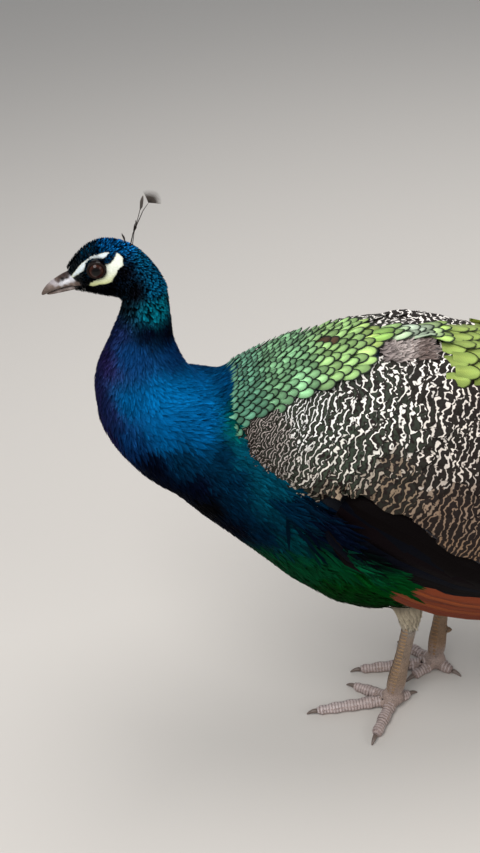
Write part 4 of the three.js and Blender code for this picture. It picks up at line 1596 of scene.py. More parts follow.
@dataclass
class BackPlumage:
    """The scale feathers of the mantle, the loose down behind them and the rump's scales."""

    coat: Coat
    ground: Surface

    def rows(self, starts: Array, pitches: Array, held: Callable[[Array, float], bool]) -> Array:
        """Sets out plan places in rows, each shifted by half a step against the last.

        Args:
            starts: The x of each row.
            pitches: The spacing across in each row.
            held: Tells whether a place at an x and a y is in the region.

        Returns:
            The x and y of each place, in millimetres.
        """
        places = []
        for k, (x, pitch) in enumerate(zip(starts, pitches)):
            steps = int(70 // pitch) + 1
            for i in range(-steps, steps + 1):
                y = (i + 0.5 * (k % 2)) * pitch
                if held(np.array([x]), y):
                    places.append((x - 0.0009 * y * y, y))
        return np.array(places)

    def scales(
        self, name: str, plan: Array, length: Array, width: Array, colours: Colours, rise: float, sink: Array
    ) -> Vanes:
        """Lays round feathers at plan places on the back.

        Args:
            name: The piece's name.
            plan: The x and y of each root, in millimetres.
            length: The length of each, in millimetres.
            width: The half width of each, in millimetres.
            colours: The colours over the back.
            rise: How far the tips stand over the roots, in millimetres.
            sink: How far the root of each stands over the skin, in millimetres.

        Returns:
            The vanes, ready to weave.
        """
        rng = self.coat.rng
        plan = plan + rng.normal(0, 0.6, plan.shape)
        high = np.column_stack([plan, np.full(len(plan), 700.0)])
        met, roots = self.ground.meet(metres(high), (0, 0, -1))
        length, width, sink = length[met], width[met], sink[met]
        spots = millimetres(roots)
        splay = np.arctan2(spots[:, 1] * 0.0035, 1.0)
        flat = np.column_stack([np.cos(splay), np.sin(splay), np.zeros(len(splay))])

        def heading(_: Array, up: Array) -> Array:
            """Returns the way aft and a little outwards, laid into the back."""
            return unit(flat - (flat * up).sum(1, keepdims=True) * up)

        return Vanes(
            name, Outline.SCALE, 7, marched(self.ground, roots, length, Outline.SCALE, heading), width, length,
            colours.at(spots), rng.uniform(0, 1, len(spots)), sink=sink, rise=rise, camber=0.16,
            roll=rng.normal(0, 0.09, len(spots)), patch=None,
        )

    def mantle(self) -> None:
        """Lays the mantle, whose scales grow from the neck aft."""
        starts, x = [], -6.0
        while x < 122:
            starts.append(x)
            x += 4.3 + 0.024 * (x + 14)
        starts = np.array(starts)
        pitches = np.interp(starts, [-14, 124], [6.6, 11.5])
        plan = self.rows(starts, pitches, lambda at, y: abs(y) <= mantle_half(at + 8, y > 0)[0])
        length = np.interp(plan[:, 0], [-14, 124], [12, 20])
        width = np.interp(plan[:, 0], [-14, 124], [4.0, 6.8])
        sink = np.interp(plan[:, 0], [-14, 14], [2.2, 3.5])
        vanes = self.scales("mantle_feathers", plan, length, width, MANTLE_COLOURS, 3.2, sink)
        # One small patch is rubbed down to its brown bases
        stain = np.hypot(*(millimetres(vanes.rails.points[:, 3])[:, :2] - (93, -10)).T) < 8
        vanes.plumage[stain] = linear("4c3828")
        dressed(vanes, MANTLE, "body_feathers")

    def down(self) -> None:
        """Lays the loose down that shows on the left between mantle and rump."""

        def region(spots: Array, normals: Array) -> Array:
            """Tells which points are the patch of down."""
            return inside(DOWN_PATCH, spots[:, 0], spots[:, 1]) & (spots[:, 2] > 405)

        colours = Colours(((125, 430, "8a7e7a"), (150, 434, "b0a49e"), (160, 425, "6a5a54"), (178, 428, "807470")), 6)
        self.coat.lay(
            DOWN, "body_feathers", "back_down", 2.0, region, lambda s: np.full(len(s), 9.0), 7.0, colours,
            lie=WING_LIE, jitter=0.55, sink=2.6, rise=3.6,
        )

    def rump(self) -> None:
        """Lays the first rows of the rump's scales, over the root of the train."""
        starts = np.arange(174.0, 262.0, 8.2)
        pitches = np.interp(starts, [174, 262], [12.5, 17])
        plan = self.rows(starts, pitches, lambda at, y: inside(RUMP_PATCH, at, np.array([float(y)]))[0])
        width = np.interp(plan[:, 0], [174, 262], [7.6, 10.4])
        sink = np.interp(plan[:, 0], [172, 190, 240, 262], [2.0, 5.2, 2.6, 0.6])
        vanes = self.scales("rump_front_feathers", plan, width * 2.9, width, RUMP_COLOURS, 2.8, sink)
        dressed(vanes, RUMP, "train_feathers")

    def strip(self) -> None:
        """Lays the thin row of pale scales down the middle between mantle and rump."""
        starts = np.arange(118.0, 184.0, 7.0)
        plan = self.rows(
            starts, np.full(len(starts), 8.5), lambda at, y: inside(STRIP, at + 6, np.array([float(y)]))[0]
        )
        sizes = np.ones(len(plan))
        pale = Colours(((120, 438, "9cc860"), (150, 438, "b8c8b0"), (184, 434, "a8c860")), 12)
        vanes = self.scales("strip_feathers", plan, sizes * 20, sizes * 6, pale, 4.0, sizes * 5.5)
        dressed(vanes, MANTLE, "body_feathers")


# ---------------------------------------------------------------- the wings


@dataclass
class Wings:
    """The folded wings: barred shoulder and wing coverts over dark secondaries and rufous primaries."""

    coat: Coat
    ground: Surface
    pitch: float = 10.5

    def build(self) -> None:
        """Lays the coverts and the flight feathers of both wings."""
        self.coverts()
        self.shoulder()
        self.flight(
            "secondaries", NAVY, "navy_feathers", [(62, 303), (106, 262), (205, 224), (300, 192), (392, 167)],
            [(84, 334), (128, 304), (198, 244), (270, 208), (372, 186)], 9, 17.0, ("080305", "04060f", "0b0506"),
        )
        self.flight(
            "primaries", RUFOUS, "rufous_feathers", [(112, 230), (160, 201), (206, 183), (300, 159), (432, 139)],
            [(130, 246), (180, 220), (230, 202), (310, 178), (410, 158)], 7, 11.0, ("7c3414", "6a2a12", "8a4018"),
        )

    def over_wing(self, spots: Array, normals: Array) -> Array:
        """Tells which points lie on the outer side of the folded wing."""
        outward = (normals[:, 1] * np.sign(spots[:, 1]) > 0.12) | (spots[:, 2] > 395)
        behind = spots[:, 0] > wing_front(spots[:, 2]) - 3
        low = np.interp(spots[:, 0], [14, 44, 66, 107, 131, 160, 200, 262, 330],
                        [356, 337, 346, 346, 326, 294, 262, 226, 208])
        far = spots[:, 1] > 0
        side = behind & (spots[:, 2] > low) & (np.abs(spots[:, 1]) > mantle_half(spots[:, 0], far) - 3)
        other = inside(STRIP, spots[:, 0], spots[:, 1]) | inside(DOWN_PATCH, spots[:, 0], spots[:, 1])
        x, y, z = spots.T
        tail_end = x < np.interp(z, [190, 212, 280, 340, 398, 470], [318, 322, 312, 278, 242, 222])
        rump = x > np.interp(y, [-62, -56, -30, 4, 19, 28, 60], [250, 176, 182, 190, 206, 236, 250])
        return side & outward & ~other & tail_end & ~(rump & (z > 400))

    def bars(self, period: Array, shift: Array) -> Marks:
        """Returns the function that gives each point of a feather its place in the run of bars."""
        slant = self.coat.rng.normal(0.15, 0.15, len(period))[:, None, None]

        def phase(side: Array, share: Array, along: Array) -> Array:
            """Returns how many bars lie before each point."""
            return (along - 1.6 * np.abs(side) ** 2) / period[:, None, None] + shift[:, None, None] + slant * side

        return phase

    def coverts(self) -> None:
        """Lays the barred feathers of shoulder and wing."""

        def length(spots: Array) -> Array:
            """Returns each covert's length, which grows aft and is short towards the back."""
            inner = (spots[:, 2] > 402) & (spots[:, 0] > 110) & (spots[:, 1] < 0)
            return np.interp(spots[:, 0], [-10, 40, 120, 260], [16, 28, 38, 46]) * np.where(inner, 0.55, 1.0)

        vanes = self.barred(
            "wing_covert_feathers", self.pitch, self.over_wing, length, 2.7, 0.0, jitter=0.1, rise=3.8
        )
        dressed(vanes, BARRED, "barred_feathers", "wing_coverts_left", "wing_coverts_right")

    def barred(
        self, name: str, pitch: float, region: Region, length: Measure, slimness: float, stand: float,
        **shape: object,
    ) -> Vanes:
        """Plans a tract of barred feathers, tucked under the breast's feathers at its front edge.

        Args:
            name: The piece's name.
            pitch: The distance between roots, in millimetres.
            region: Tells which points belong.
            length: Gives each feather's length from its root's place, in millimetres.
            slimness: Length over half width.
            stand: How much higher the roots stand than the coverts' do, in millimetres.
            **shape: The rest of what a tract takes.

        Returns:
            The vanes, ready to weave.
        """
        vanes = self.coat.tract(
            name, pitch, region, length, slimness, BAR_COLOURS, lie=WING_LIE, outline=Outline.SCALE, columns=5,
            camber=0.14, patch=None, **shape,
        )
        spots = millimetres(vanes.rails.points[:, 0])
        vanes.sink = self.tucked(spots) + stand
        self.set_bars(vanes, spots)
        return vanes

    def tucked(self, spots: Array) -> Array:
        """Returns how high each covert's root stands: at the wing's front edge it is under the breast's feathers."""
        return np.interp(spots[:, 0] - wing_front(spots[:, 2]), [-2, 14], [-1.6, 0.8])

    def shoulder(self) -> None:
        """Lays the fine small feathers at the very front of the wing."""

        def region(spots: Array, normals: Array) -> Array:
            """Tells which points are the wing's front."""
            return self.over_wing(spots, normals) & (spots[:, 0] < 40) & (spots[:, 2] < 400)

        vanes = self.barred(
            "shoulder_feathers", 5.0, region, lambda s: np.interp(s[:, 0], [-10, 40], [10, 20]), 2.4, 0.6,
            jitter=0.12, rise=4.0,
        )
        dressed(vanes, BARRED, "barred_feathers")

    def set_bars(self, vanes: Vanes, spots: Array) -> None:
        """Gives a tract its bars: narrow at the shoulder, widest over the middle of the wing.

        Args:
            vanes: The tract.
            spots: The roots of its feathers, in millimetres.
        """
        lean = 0.55 * np.interp(spots[:, 0], [60, 170], [1.0, 0.1])
        run = spots[:, 0] - lean * (spots[:, 2] - 340)
        # How many bars lie in front of each place: they are 3 mm apart at the shoulder and 10 mm at mid-wing
        grid = np.arange(-60.0, 420.0, 2.0)
        spacing = np.interp(grid, [-10, 12, 40, 110, 150, 200, 330], [2.8, 4.0, 7.6, 8.4, 7.0, 5.8, 5.6])
        ahead = np.cumsum(2.0 / spacing)
        spread = np.interp(spots[:, 0], [20, 60, 130, 180], [0.1, 0.2, 0.15, 0.07])
        shift = np.interp(run, grid, ahead) + self.coat.rng.normal(0, 1, len(spots)) * spread
        lower = np.interp(spots[:, 2] - 0.25 * (200 - spots[:, 0]), [300, 350], [0.8, 1.0])
        vanes.marks = self.bars(np.interp(run, grid, spacing) * lower, shift)

    def flight(
        self, name: str, finish: Finish, slot: str, low: Sequence, high: Sequence, count: int, half_width: float,
        colours: Sequence[str],
    ) -> None:
        """Stacks the long feathers of both wings, the upper ones over the lower ones.

        Args:
            name: What they are called.
            finish: Their finish.
            slot: The record's material slot.
            low: The lowest feather's line in the side view, in millimetres.
            high: The highest feather's line.
            count: How many a wing has.
            half_width: Half the width of each, in millimetres.
            colours: The colours that they vary between.
        """
        shares = Outline.BLADE.shares()
        knots = np.linspace(0, 1, len(low))
        rails, ups = [], []
        for k in range(count):
            line = np.asarray(low) + (np.asarray(high) - np.asarray(low)) * k / (count - 1)
            line = line + self.coat.rng.normal(0, 0.8, 2)
            x = np.interp(shares, knots, line[:, 0])
            z = np.interp(shares, knots, line[:, 1])
            out = left_side(self.ground, x, z)
            lift = 0.45 * k - 3.6
            rails.append(metres(np.column_stack([x, out - lift, z])))
            ups.append(np.tile((0.0, -1.0, 0.12), (len(x), 1)))
        points, normals = np.array(rails), unit(np.array(ups))
        run = np.linalg.norm(points[:, -1] - points[:, 0], axis=1) / MM
        shades = np.array([linear(colours[k % len(colours)]) for k in range(count)])
        for side, sign in SIDES.items():
            turned = np.array([1.0, -sign, 1.0])
            vanes = Vanes(
                f"{name}_feathers_{side}", Outline.BLADE, 7, Rails(points * turned, normals * turned),
                np.full(count, half_width), run, shades, self.coat.rng.uniform(0, 1, count), sink=0.0, rise=0.4,
                camber=0.1, patch=None,
            )
            dressed(vanes, finish, slot, f"{name}_{side}", solid=(0.4, -1.0))


# ---------------------------------------------------------------- the train and tail


@dataclass
class TrainForm:
    """The closed train's sections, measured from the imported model."""

    stations: Array
    top: Array
    bottom: Array
    half: Array

    @classmethod
    def measured(cls, whole: Surface, train: Surface) -> "TrainForm":
        """Measures the train's height and width along its length with rays.

        Args:
            whole: The body with the train.
            train: The train alone, which starts a little aft of the first station.

        Returns:
            The form.
        """
        xs = np.linspace(184, 1330, 60)
        rows = []
        for x in xs:
            down = whole.tree.ray_cast(Vector(metres((x, 1.3, 900))), (0, 0, -1))[0]
            up = train.tree.ray_cast(Vector(metres((max(x, 245.0), 1.3, -50))), (0, 0, 1))[0]
            middle = (down.z + up.z) / 2 + 0.0001
            side = train.tree.ray_cast(Vector((float(metres((x, 0, 0))[0]), -0.5, middle)), (0, 1, 0))[0]
            rows.append((down.z / MM, up.z / MM, -side.y / MM if side else 20.0))
        top, bottom, half = np.array(rows).T
        # The train's front end is cut on the slant, so its first stations carry on the line of the next ones
        front = xs < 365
        for row in (bottom, half):
            row[front] = np.polyval(np.polyfit(xs[~front][:5], row[~front][:5], 1), xs[front])
        return cls(xs, top, bottom, half)

    def at(self, x: Array, angle: Array) -> tuple[Array, Array]:
        """Returns points on the train's side and the way out there.

        Args:
            x: The stations, in millimetres.
            angle: The angles round the section, from 0 at its top, left negative.

        Returns:
            The points in millimetres and the normals.
        """
        top, bottom, half = (np.interp(x, self.stations, row) for row in (self.top, self.bottom, self.half))
        high = (top - bottom) / 2
        points = np.stack([x, half * np.sin(angle), (top + bottom) / 2 + high * np.cos(angle)], -1)
        fall = np.interp(x, self.stations, np.gradient((self.top + self.bottom) / 2, self.stations))
        normals = np.stack([-fall * np.cos(angle), np.sin(angle) * high, np.cos(angle) * half], -1)
        normals[..., 0] *= half
        return points, unit(normals)


@dataclass
class Train:
    """The closed train: brassy scales at its root, then eyed feathers with loose barbs.

    Attributes:
        coat: The coat, for its random numbers.
        form: The train's sections.
        scales_from: Where the scales start, in millimetres.
        eyes_from: Where the scales end and the eye-spots start.
        eyes_run: How far the eye-spots run aft from there.
        eye_rows: How many rows of eye-spots there are.
        tip: Where the last barbs end.
        bare_length: How long the shaft and barbs show before each eye-spot.
    """

    coat: Coat
    form: TrainForm
    scales_from: float = 240.0
    eyes_from: float = 455.0
    eyes_run: float = 855.0
    eye_rows: int = 19
    tip: float = 1334.0
    bare_length: float = 215.0

    def build(self) -> None:
        """Makes the core, scales, eye-spots, shafts, barbs and tail."""
        self.core()
        self.scales()
        self.eyed()
        self.tail()

    def core(self) -> None:
        """Makes the dense middle of the train, which shows between the barbs and from below."""
        core = merged_copy("train_core", TRAIN_NODES)
        apply_modifier(core, "REMESH", mode="VOXEL", voxel_size=0.005)
        apply_modifier(core, "SMOOTH", factor=0.5, iterations=4)
        points, normals = coordinates(core.data), vertex_normals(core.data)
        thin = np.clip(millimetres(points)[:, 2] / 30, 0.35, 1)[:, None]
        points = points - normals * 4.5 * MM * thin
        end = float(metres((1262, 0, 0))[0])
        points[:, 0] = np.where(points[:, 0] > end, end + (points[:, 0] - end) * 0.2, points[:, 0])
        move_vertices(core.data, points)
        spots = millimetres(coordinates(core.data))
        shades = Colours(((240, 400, "6f7c2c"), (420, 340, "4a5222"), (800, 180, "3a3c1c"), (1300, 20, "3a341c")), 40)
        set_attribute(core.data, "Plumage", shades.at(spots))
        across = np.stack([spots[:, 1] * 2, spots[:, 0], np.full(len(spots), 0.5)], 1)
        set_attribute(core.data, "Barbs", across)
        set_attribute(core.data, "Vane", np.full((len(spots), 3), 0.5))
        smooth_faces(core.data)
        core.data.materials.append(BRONZE.material())
        finished(core, "train_feathers", *TRAIN_NODES)

    def scales(self) -> None:
        """Lays the brassy scale feathers of the rump, which grow aft."""
        rng = self.coat.rng
        places, x, k = [], self.scales_from, 0
        while x < self.eyes_from:
            half = float(np.interp(x, self.form.stations, self.form.half))
            pitch = float(np.interp(x, [self.scales_from, self.eyes_from], [15.5, 28]))
            steps = int(math.pi * half * 0.66 / pitch) + 1
            for i in range(-steps, steps + 1):
                angle = (i + 0.5 * (k % 2)) * pitch / max(half, 24)
                if abs(angle) < 1.9:
                    places.append((x + rng.normal(0, 0.8), angle, pitch))
            x += pitch * 0.62
            k += 1
        x, angle, pitch = np.array(places).T
        length = pitch * 2.1
        shares = Outline.SCALE.shares()
        run = x[:, None] + length[:, None] * shares * 0.97
        points, normals = self.form.at(run, np.repeat(angle[:, None], len(shares), 1))
        sink = np.interp(x, [240, 254, 266], [-7.0, -1.5, 1.0])
        vanes = Vanes(
            "rump_feathers", Outline.SCALE, 7, Rails(metres(points), normals), pitch * 0.62, length,
            RUMP_COLOURS.at(points[:, 0]), rng.uniform(0, 1, len(x)), sink=sink, rise=4.4, camber=0.12,
            roll=rng.normal(0, 0.04, len(x)), patch=None,
        )
        dressed(vanes, RUMP, "train_feathers")

    def eye_places(self) -> Array:
        """Sets out the eye-spots in rows along the train, each shifted against the last.

        Returns:
            The x, the angle and the size of each, in millimetres and radians.
        """
        places = []
        rng = self.coat.rng
        for k, share in enumerate(np.linspace(0, 1, self.eye_rows)):
            x = self.eyes_from + self.eyes_run * share**0.95
            half = float(np.interp(x, self.form.stations, self.form.half))
            size = float(np.interp(x, [self.eyes_from, 800, 1310], [21, 31, 36]))
            step = size * 1.75 / half
            for i in range(-5, 6):
                angle = (i + 0.5 * (k % 2)) * step + rng.normal(0, 0.03)
                if abs(angle) < 1.48 and half * abs(math.sin(angle)) + size / 2 < half + 3:
                    places.append((x + rng.normal(0, 7), angle, size * rng.uniform(0.92, 1.06)))
        return np.array(places)

    def eyed(self) -> None:
        """Makes the eye-spots with their shafts and barbs."""
        rng = self.coat.rng
        x, angle, size = self.eye_places().T
        x = np.minimum(x, self.tip - 12 - size * 0.9)
        count = len(x)
        shares = Outline.SCALE.shares()
        discs, ups = self.form.at(x[:, None] + (shares - 0.5) * size[:, None] * 1.15, angle[:, None] + 0 * shares)
        lift = rng.uniform(1.0, 3.0, count)
        discs = discs + ups * lift[:, None, None]
        spots = Vanes(
            "eye_spots", Outline.SCALE, 9, Rails(metres(discs), ups), size * 0.5, size * 1.15,
            np.tile(linear("6f8a3a"), (count, 1)), rng.uniform(0, 1, count), sink=1.2, rise=1.0, camber=0.1,
            patch=None, marks=self.rings,
        )
        dressed(spots, EYED, "train_feathers")
        self.shafts(x, angle, size)
        self.barbs(x, angle)

    def rings(self, side: Array, share: Array, along: Array) -> Array:
        """Returns the distance from the heart of the eye-spot, notched towards the tip."""
        widths = np.interp(share, Outline.SCALE.shares(), Outline.SCALE.widths())
        wide = side * widths
        tall = (share - 0.52) * 1.95
        notch = 0.12 * np.exp(-((wide / 0.16) ** 2)) * np.clip(tall * 3, 0, 1)
        return np.clip(np.sqrt(wide**2 + tall**2) + notch, 0, 1)

    def feather_line(self, x: Array, angle: Array, back: Array) -> tuple[Array, Array]:
        """Returns where each train feather runs, a distance back from its eye-spot."""
        run = x[:, None] - back
        sway = angle[:, None] * np.interp(back, [0, 260], [1.0, 0.93])
        return self.form.at(np.maximum(run, 200), sway)

    def shafts(self, x: Array, angle: Array, size: Array) -> None:
        """Makes the thin ivory shafts."""
        shares = Outline.BLADE.shares()
        back = (1 - shares)[None, :] * np.minimum(250, x - 250)[:, None] - size[:, None] * 0.35
        points, normals = self.feather_line(x, angle, back)
        depth = np.interp(shares, [0, 1], [-4.0, 3.6])[None, :, None]
        kept = [0, 4, 7, 10]
        rails = Rails(metres(points + normals * depth)[:, kept], normals[:, kept])
        vanes = Vanes(
            "train_shafts", Outline.HAIR, 3, rails, np.full(len(x), 0.55), np.full(len(x), 250.0),
            np.tile(linear("b8ab80"), (len(x), 1)), np.full(len(x), 0.5), sink=0.4, rise=0.3, camber=0.4,
        )
        dressed(vanes, QUILL, "train_feathers")

    def barbs(self, x: Array, angle: Array) -> None:
        """Makes the loose barbs that stand out along both sides of every shaft."""
        rng = self.coat.rng
        steps = np.arange(0, self.bare_length, 2.3)
        shares = Outline.HAIR.shares()
        feather, back, sign = (
            part.ravel() for part in np.meshgrid(np.arange(len(x)), steps, (-1.0, 1.0), indexing="ij")
        )
        feather = feather.astype(int)
        back = back + rng.uniform(-1.2, 1.2, len(feather))
        keep = x[feather] - back > 380
        feather, back, sign = feather[keep], back[keep], sign[keep]
        count = len(feather)
        reach = np.interp(back, [0, 25, 120, self.bare_length], [26, 44, 52, 40]) * rng.uniform(0.8, 1.2, count)
        forward = reach[:, None] * shares * rng.uniform(0.72, 0.9, count)[:, None]
        half = np.interp(x[feather], self.form.stations, self.form.half)
        outward = sign[:, None] * reach[:, None] * (0.62 * shares - 0.2 * shares**2)
        at_x = x[feather][:, None] - back[:, None] + forward
        at_angle = angle[feather][:, None] + outward / half[:, None]
        points, normals = self.form.at(np.clip(at_x, 200, self.tip), np.clip(at_angle, -1.9, 1.9))
        depth = np.interp(back, [0, self.bare_length], [2.6, -1.5])[:, None] + shares * 1.5
        depth = depth + rng.uniform(-0.6, 0.6, count)[:, None]
        points = points + normals * depth[..., None]
        green = np.array([linear(colour) for colour in ("5e8230", "86742e", "376a2e", "745826", "948838")])
        tint = green[rng.choice(len(green), count, p=(0.34, 0.2, 0.22, 0.14, 0.1))]
        for name, low, high in (("front", 0, 700), ("middle", 700, 1010), ("end", 1010, 2000)):
            part = (x[feather] >= low) & (x[feather] < high)
            vanes = Vanes(
                f"train_barbs_{name}", Outline.HAIR, 2, Rails(metres(points[part]), normals[part]),
                np.full(part.sum(), 0.6), reach[part], tint[part], rng.uniform(0, 1, part.sum()),
                sink=0.3, rise=0.4, camber=0.0, roll=rng.normal(0, 0.3, part.sum()),
            )
            dressed(vanes, BRONZE, "train_feathers")

    def tail(self) -> None:
        """Fans the brown tail feathers a little under the train."""
        shares = Outline.BLADE.shares()
        count = 12
        rng = self.coat.rng
        fan = np.linspace(-1, 1, count)
        x = 352 + np.linspace(0, 350, len(shares))[None, :] * (1 - 0.03 * fan[:, None] ** 2)
        y = fan[:, None] * (22 + 38 * shares[None, :])
        z = np.interp(x, [350, 420, 540, 650, 706], [305, 276, 234, 198, 179]) + np.abs(fan)[:, None] * -3.0
        points = metres(np.stack([x, y, z], -1))
        normals = np.tile(unit(np.array([0.32, 0.0, 0.95])), (count, len(shares), 1))
        tint = np.array([linear(("5c4636", "54402f", "665040")[k % 3]) for k in range(count)])
        vanes = Vanes(
            "tail_feathers", Outline.BLADE, 5, Rails(points, normals), np.full(count, 15.0), np.full(count, 350.0),
            tint, rng.uniform(0, 1, count), sink=0.0, rise=0.5, camber=0.08, patch=None,
        )
        dressed(vanes, BROWN, "brown_feathers", "tail", solid=(0.5, -1.0))


# ---------------------------------------------------------------- head pieces


@dataclass(frozen=True)
class Ring:
    """One section of a lofted piece: its middle, half sizes and the way that it faces, in millimetres."""

    middle: tuple[float, float, float]
    up: float
    side: float
    tilt: float = 0.0
    keel: float = 0.0


def loft(name: str, rings: Sequence[Ring], sides: int = 24) -> Object:
    """Draws a circle at the first ring, extrudes it through the others and closes the end.

    Args:
        name: The piece's name.
        rings: The sections from root to tip, upright across the bird's length.
        sides: How many points a section has.

    Returns:
        The lofted object at the origin.
    """
    bpy.ops.object.select_all(action="DESELECT")
    bpy.ops.mesh.primitive_circle_add(vertices=sides, radius=1.0, fill_type="NGON")
    piece = bpy.context.object
    piece.name = name
    angles = np.linspace(0, 2 * math.pi, sides, endpoint=False)
    bpy.ops.object.mode_set(mode="EDIT")
    for _ in rings[1:]:
        bpy.ops.mesh.extrude_region_move()
    bpy.ops.object.mode_set(mode="OBJECT")
    points = np.empty((len(rings), sides, 3))
    for k, ring in enumerate(rings):
        high = ring.up * np.cos(angles) + ring.keel * np.clip(np.cos(angles), 0, 1) ** 8
        turned = math.radians(ring.tilt)
        points[k, :, 0] = ring.middle[0] - high * math.sin(turned)
        points[k, :, 1] = ring.middle[1] + ring.side * np.sin(angles)
        points[k, :, 2] = ring.middle[2] + high * math.cos(turned)
    move_vertices(piece.data, metres(points.reshape(-1, 3)))
    return piece


def close_up(piece: Object, levels: int = 1) -> None:
    """Turns a lofted piece's faces outwards, rounds it off and shades it smooth."""
    select_only(piece)
    bpy.ops.object.mode_set(mode="EDIT")
    bpy.ops.mesh.select_all(action="SELECT")
    bpy.ops.mesh.normals_make_consistent(inside=False)
    bpy.ops.object.mode_set(mode="OBJECT")
    apply_modifier(piece, "SUBSURF", levels=levels, render_levels=levels)
    smooth_faces(piece.data)


class Head:
    """The eyes, bill and crest."""

    def build(self) -> None:
        """Makes the eyes, the two halves of the bill and the crest."""
        self.eyes()
        self.bill()
        Crest().build()

    def eyes(self) -> None:
        """Makes the eyeballs, each with a slight cornea."""
        for side, sign in SIDES.items():
            bpy.ops.object.select_all(action="DESELECT")
            centre = metres(EYE_MM * (1, sign, 1))
            bpy.ops.mesh.primitive_uv_sphere_add(
                segments=48, ring_count=24, radius=EYE_RADIUS_MM * MM, location=centre, rotation=(math.pi / 2, 0, 0)
            )
            eye = bpy.context.object
            eye.name = f"eyeball_{side}"
            bpy.ops.object.transform_apply()
            smooth_faces(eye.data)
            eye.data.materials.append(EYE.material())
            finished(eye, "eye", f"eye_{side}")

    def bill(self) -> None:
        """Makes the hooked upper half over the straight lower one."""
        upper = loft(
            "upper_bill",
            [
                Ring((-122, 0, 514.5), 7.0, 7.0), Ring((-126, 0, 514.8), 7.2, 6.9),
                Ring((-131, 0, 514.6), 6.9, 6.5, keel=0.3), Ring((-136, 0, 513.6), 6.3, 6.0, keel=0.4),
                Ring((-141, 0, 512.0), 5.5, 5.3, keel=0.4), Ring((-146, 0, 510.2), 4.8, 4.6, tilt=8, keel=0.4),
                Ring((-151, 0, 507.8), 3.9, 3.6, tilt=16, keel=0.3), Ring((-155, 0, 505.2), 2.9, 2.6, tilt=26),
                Ring((-158, 0, 502.8), 1.7, 1.5, tilt=36), Ring((-159.4, 0, 501.4), 0.6, 0.5, tilt=40),
            ],
        )
        lower = loft(
            "lower_bill",
            [
                Ring((-120, 0, 507.6), 1.8, 5.2), Ring((-126, 0, 506.8), 2.0, 5.3),
                Ring((-133, 0, 505.8), 2.0, 4.9), Ring((-140, 0, 504.6), 1.8, 4.1),
                Ring((-147, 0, 503.2), 1.4, 3.1), Ring((-152, 0, 502.2), 1.0, 2.1),
                Ring((-155, 0, 501.7), 0.5, 0.9),
            ],
        )
        self.nostrils(upper)
        for piece, node in ((upper, "bill_upper"), (lower, "bill_lower")):
            close_up(piece)
            set_attribute(piece.data, "Plumage", BILL_COLOURS.at(millimetres(coordinates(piece.data))))
            piece.data.materials.append(BILL.material())
            finished(piece, "bill_horn", node)

    def nostrils(self, upper: Object) -> None:
        """Presses a slit into each side of the upper half, under a raised flap."""
        apply_modifier(upper, "SUBSURF", levels=2, render_levels=2)
        points = coordinates(upper.data)
        spots = millimetres(points)
        along, high = (spots[:, 0] + 138.5) / 5.0, (spots[:, 2] - 515.6) / 1.1
        slit = np.exp(-(along**2) - high**2)
        flap = np.exp(-(((spots[:, 0] + 137.5) / 6.0) ** 2) - ((spots[:, 2] - 518.0) / 1.8) ** 2)
        spots[:, 1] -= np.sign(spots[:, 1]) * (1.5 * slit - 0.8 * flap)
        move_vertices(upper.data, metres(spots))


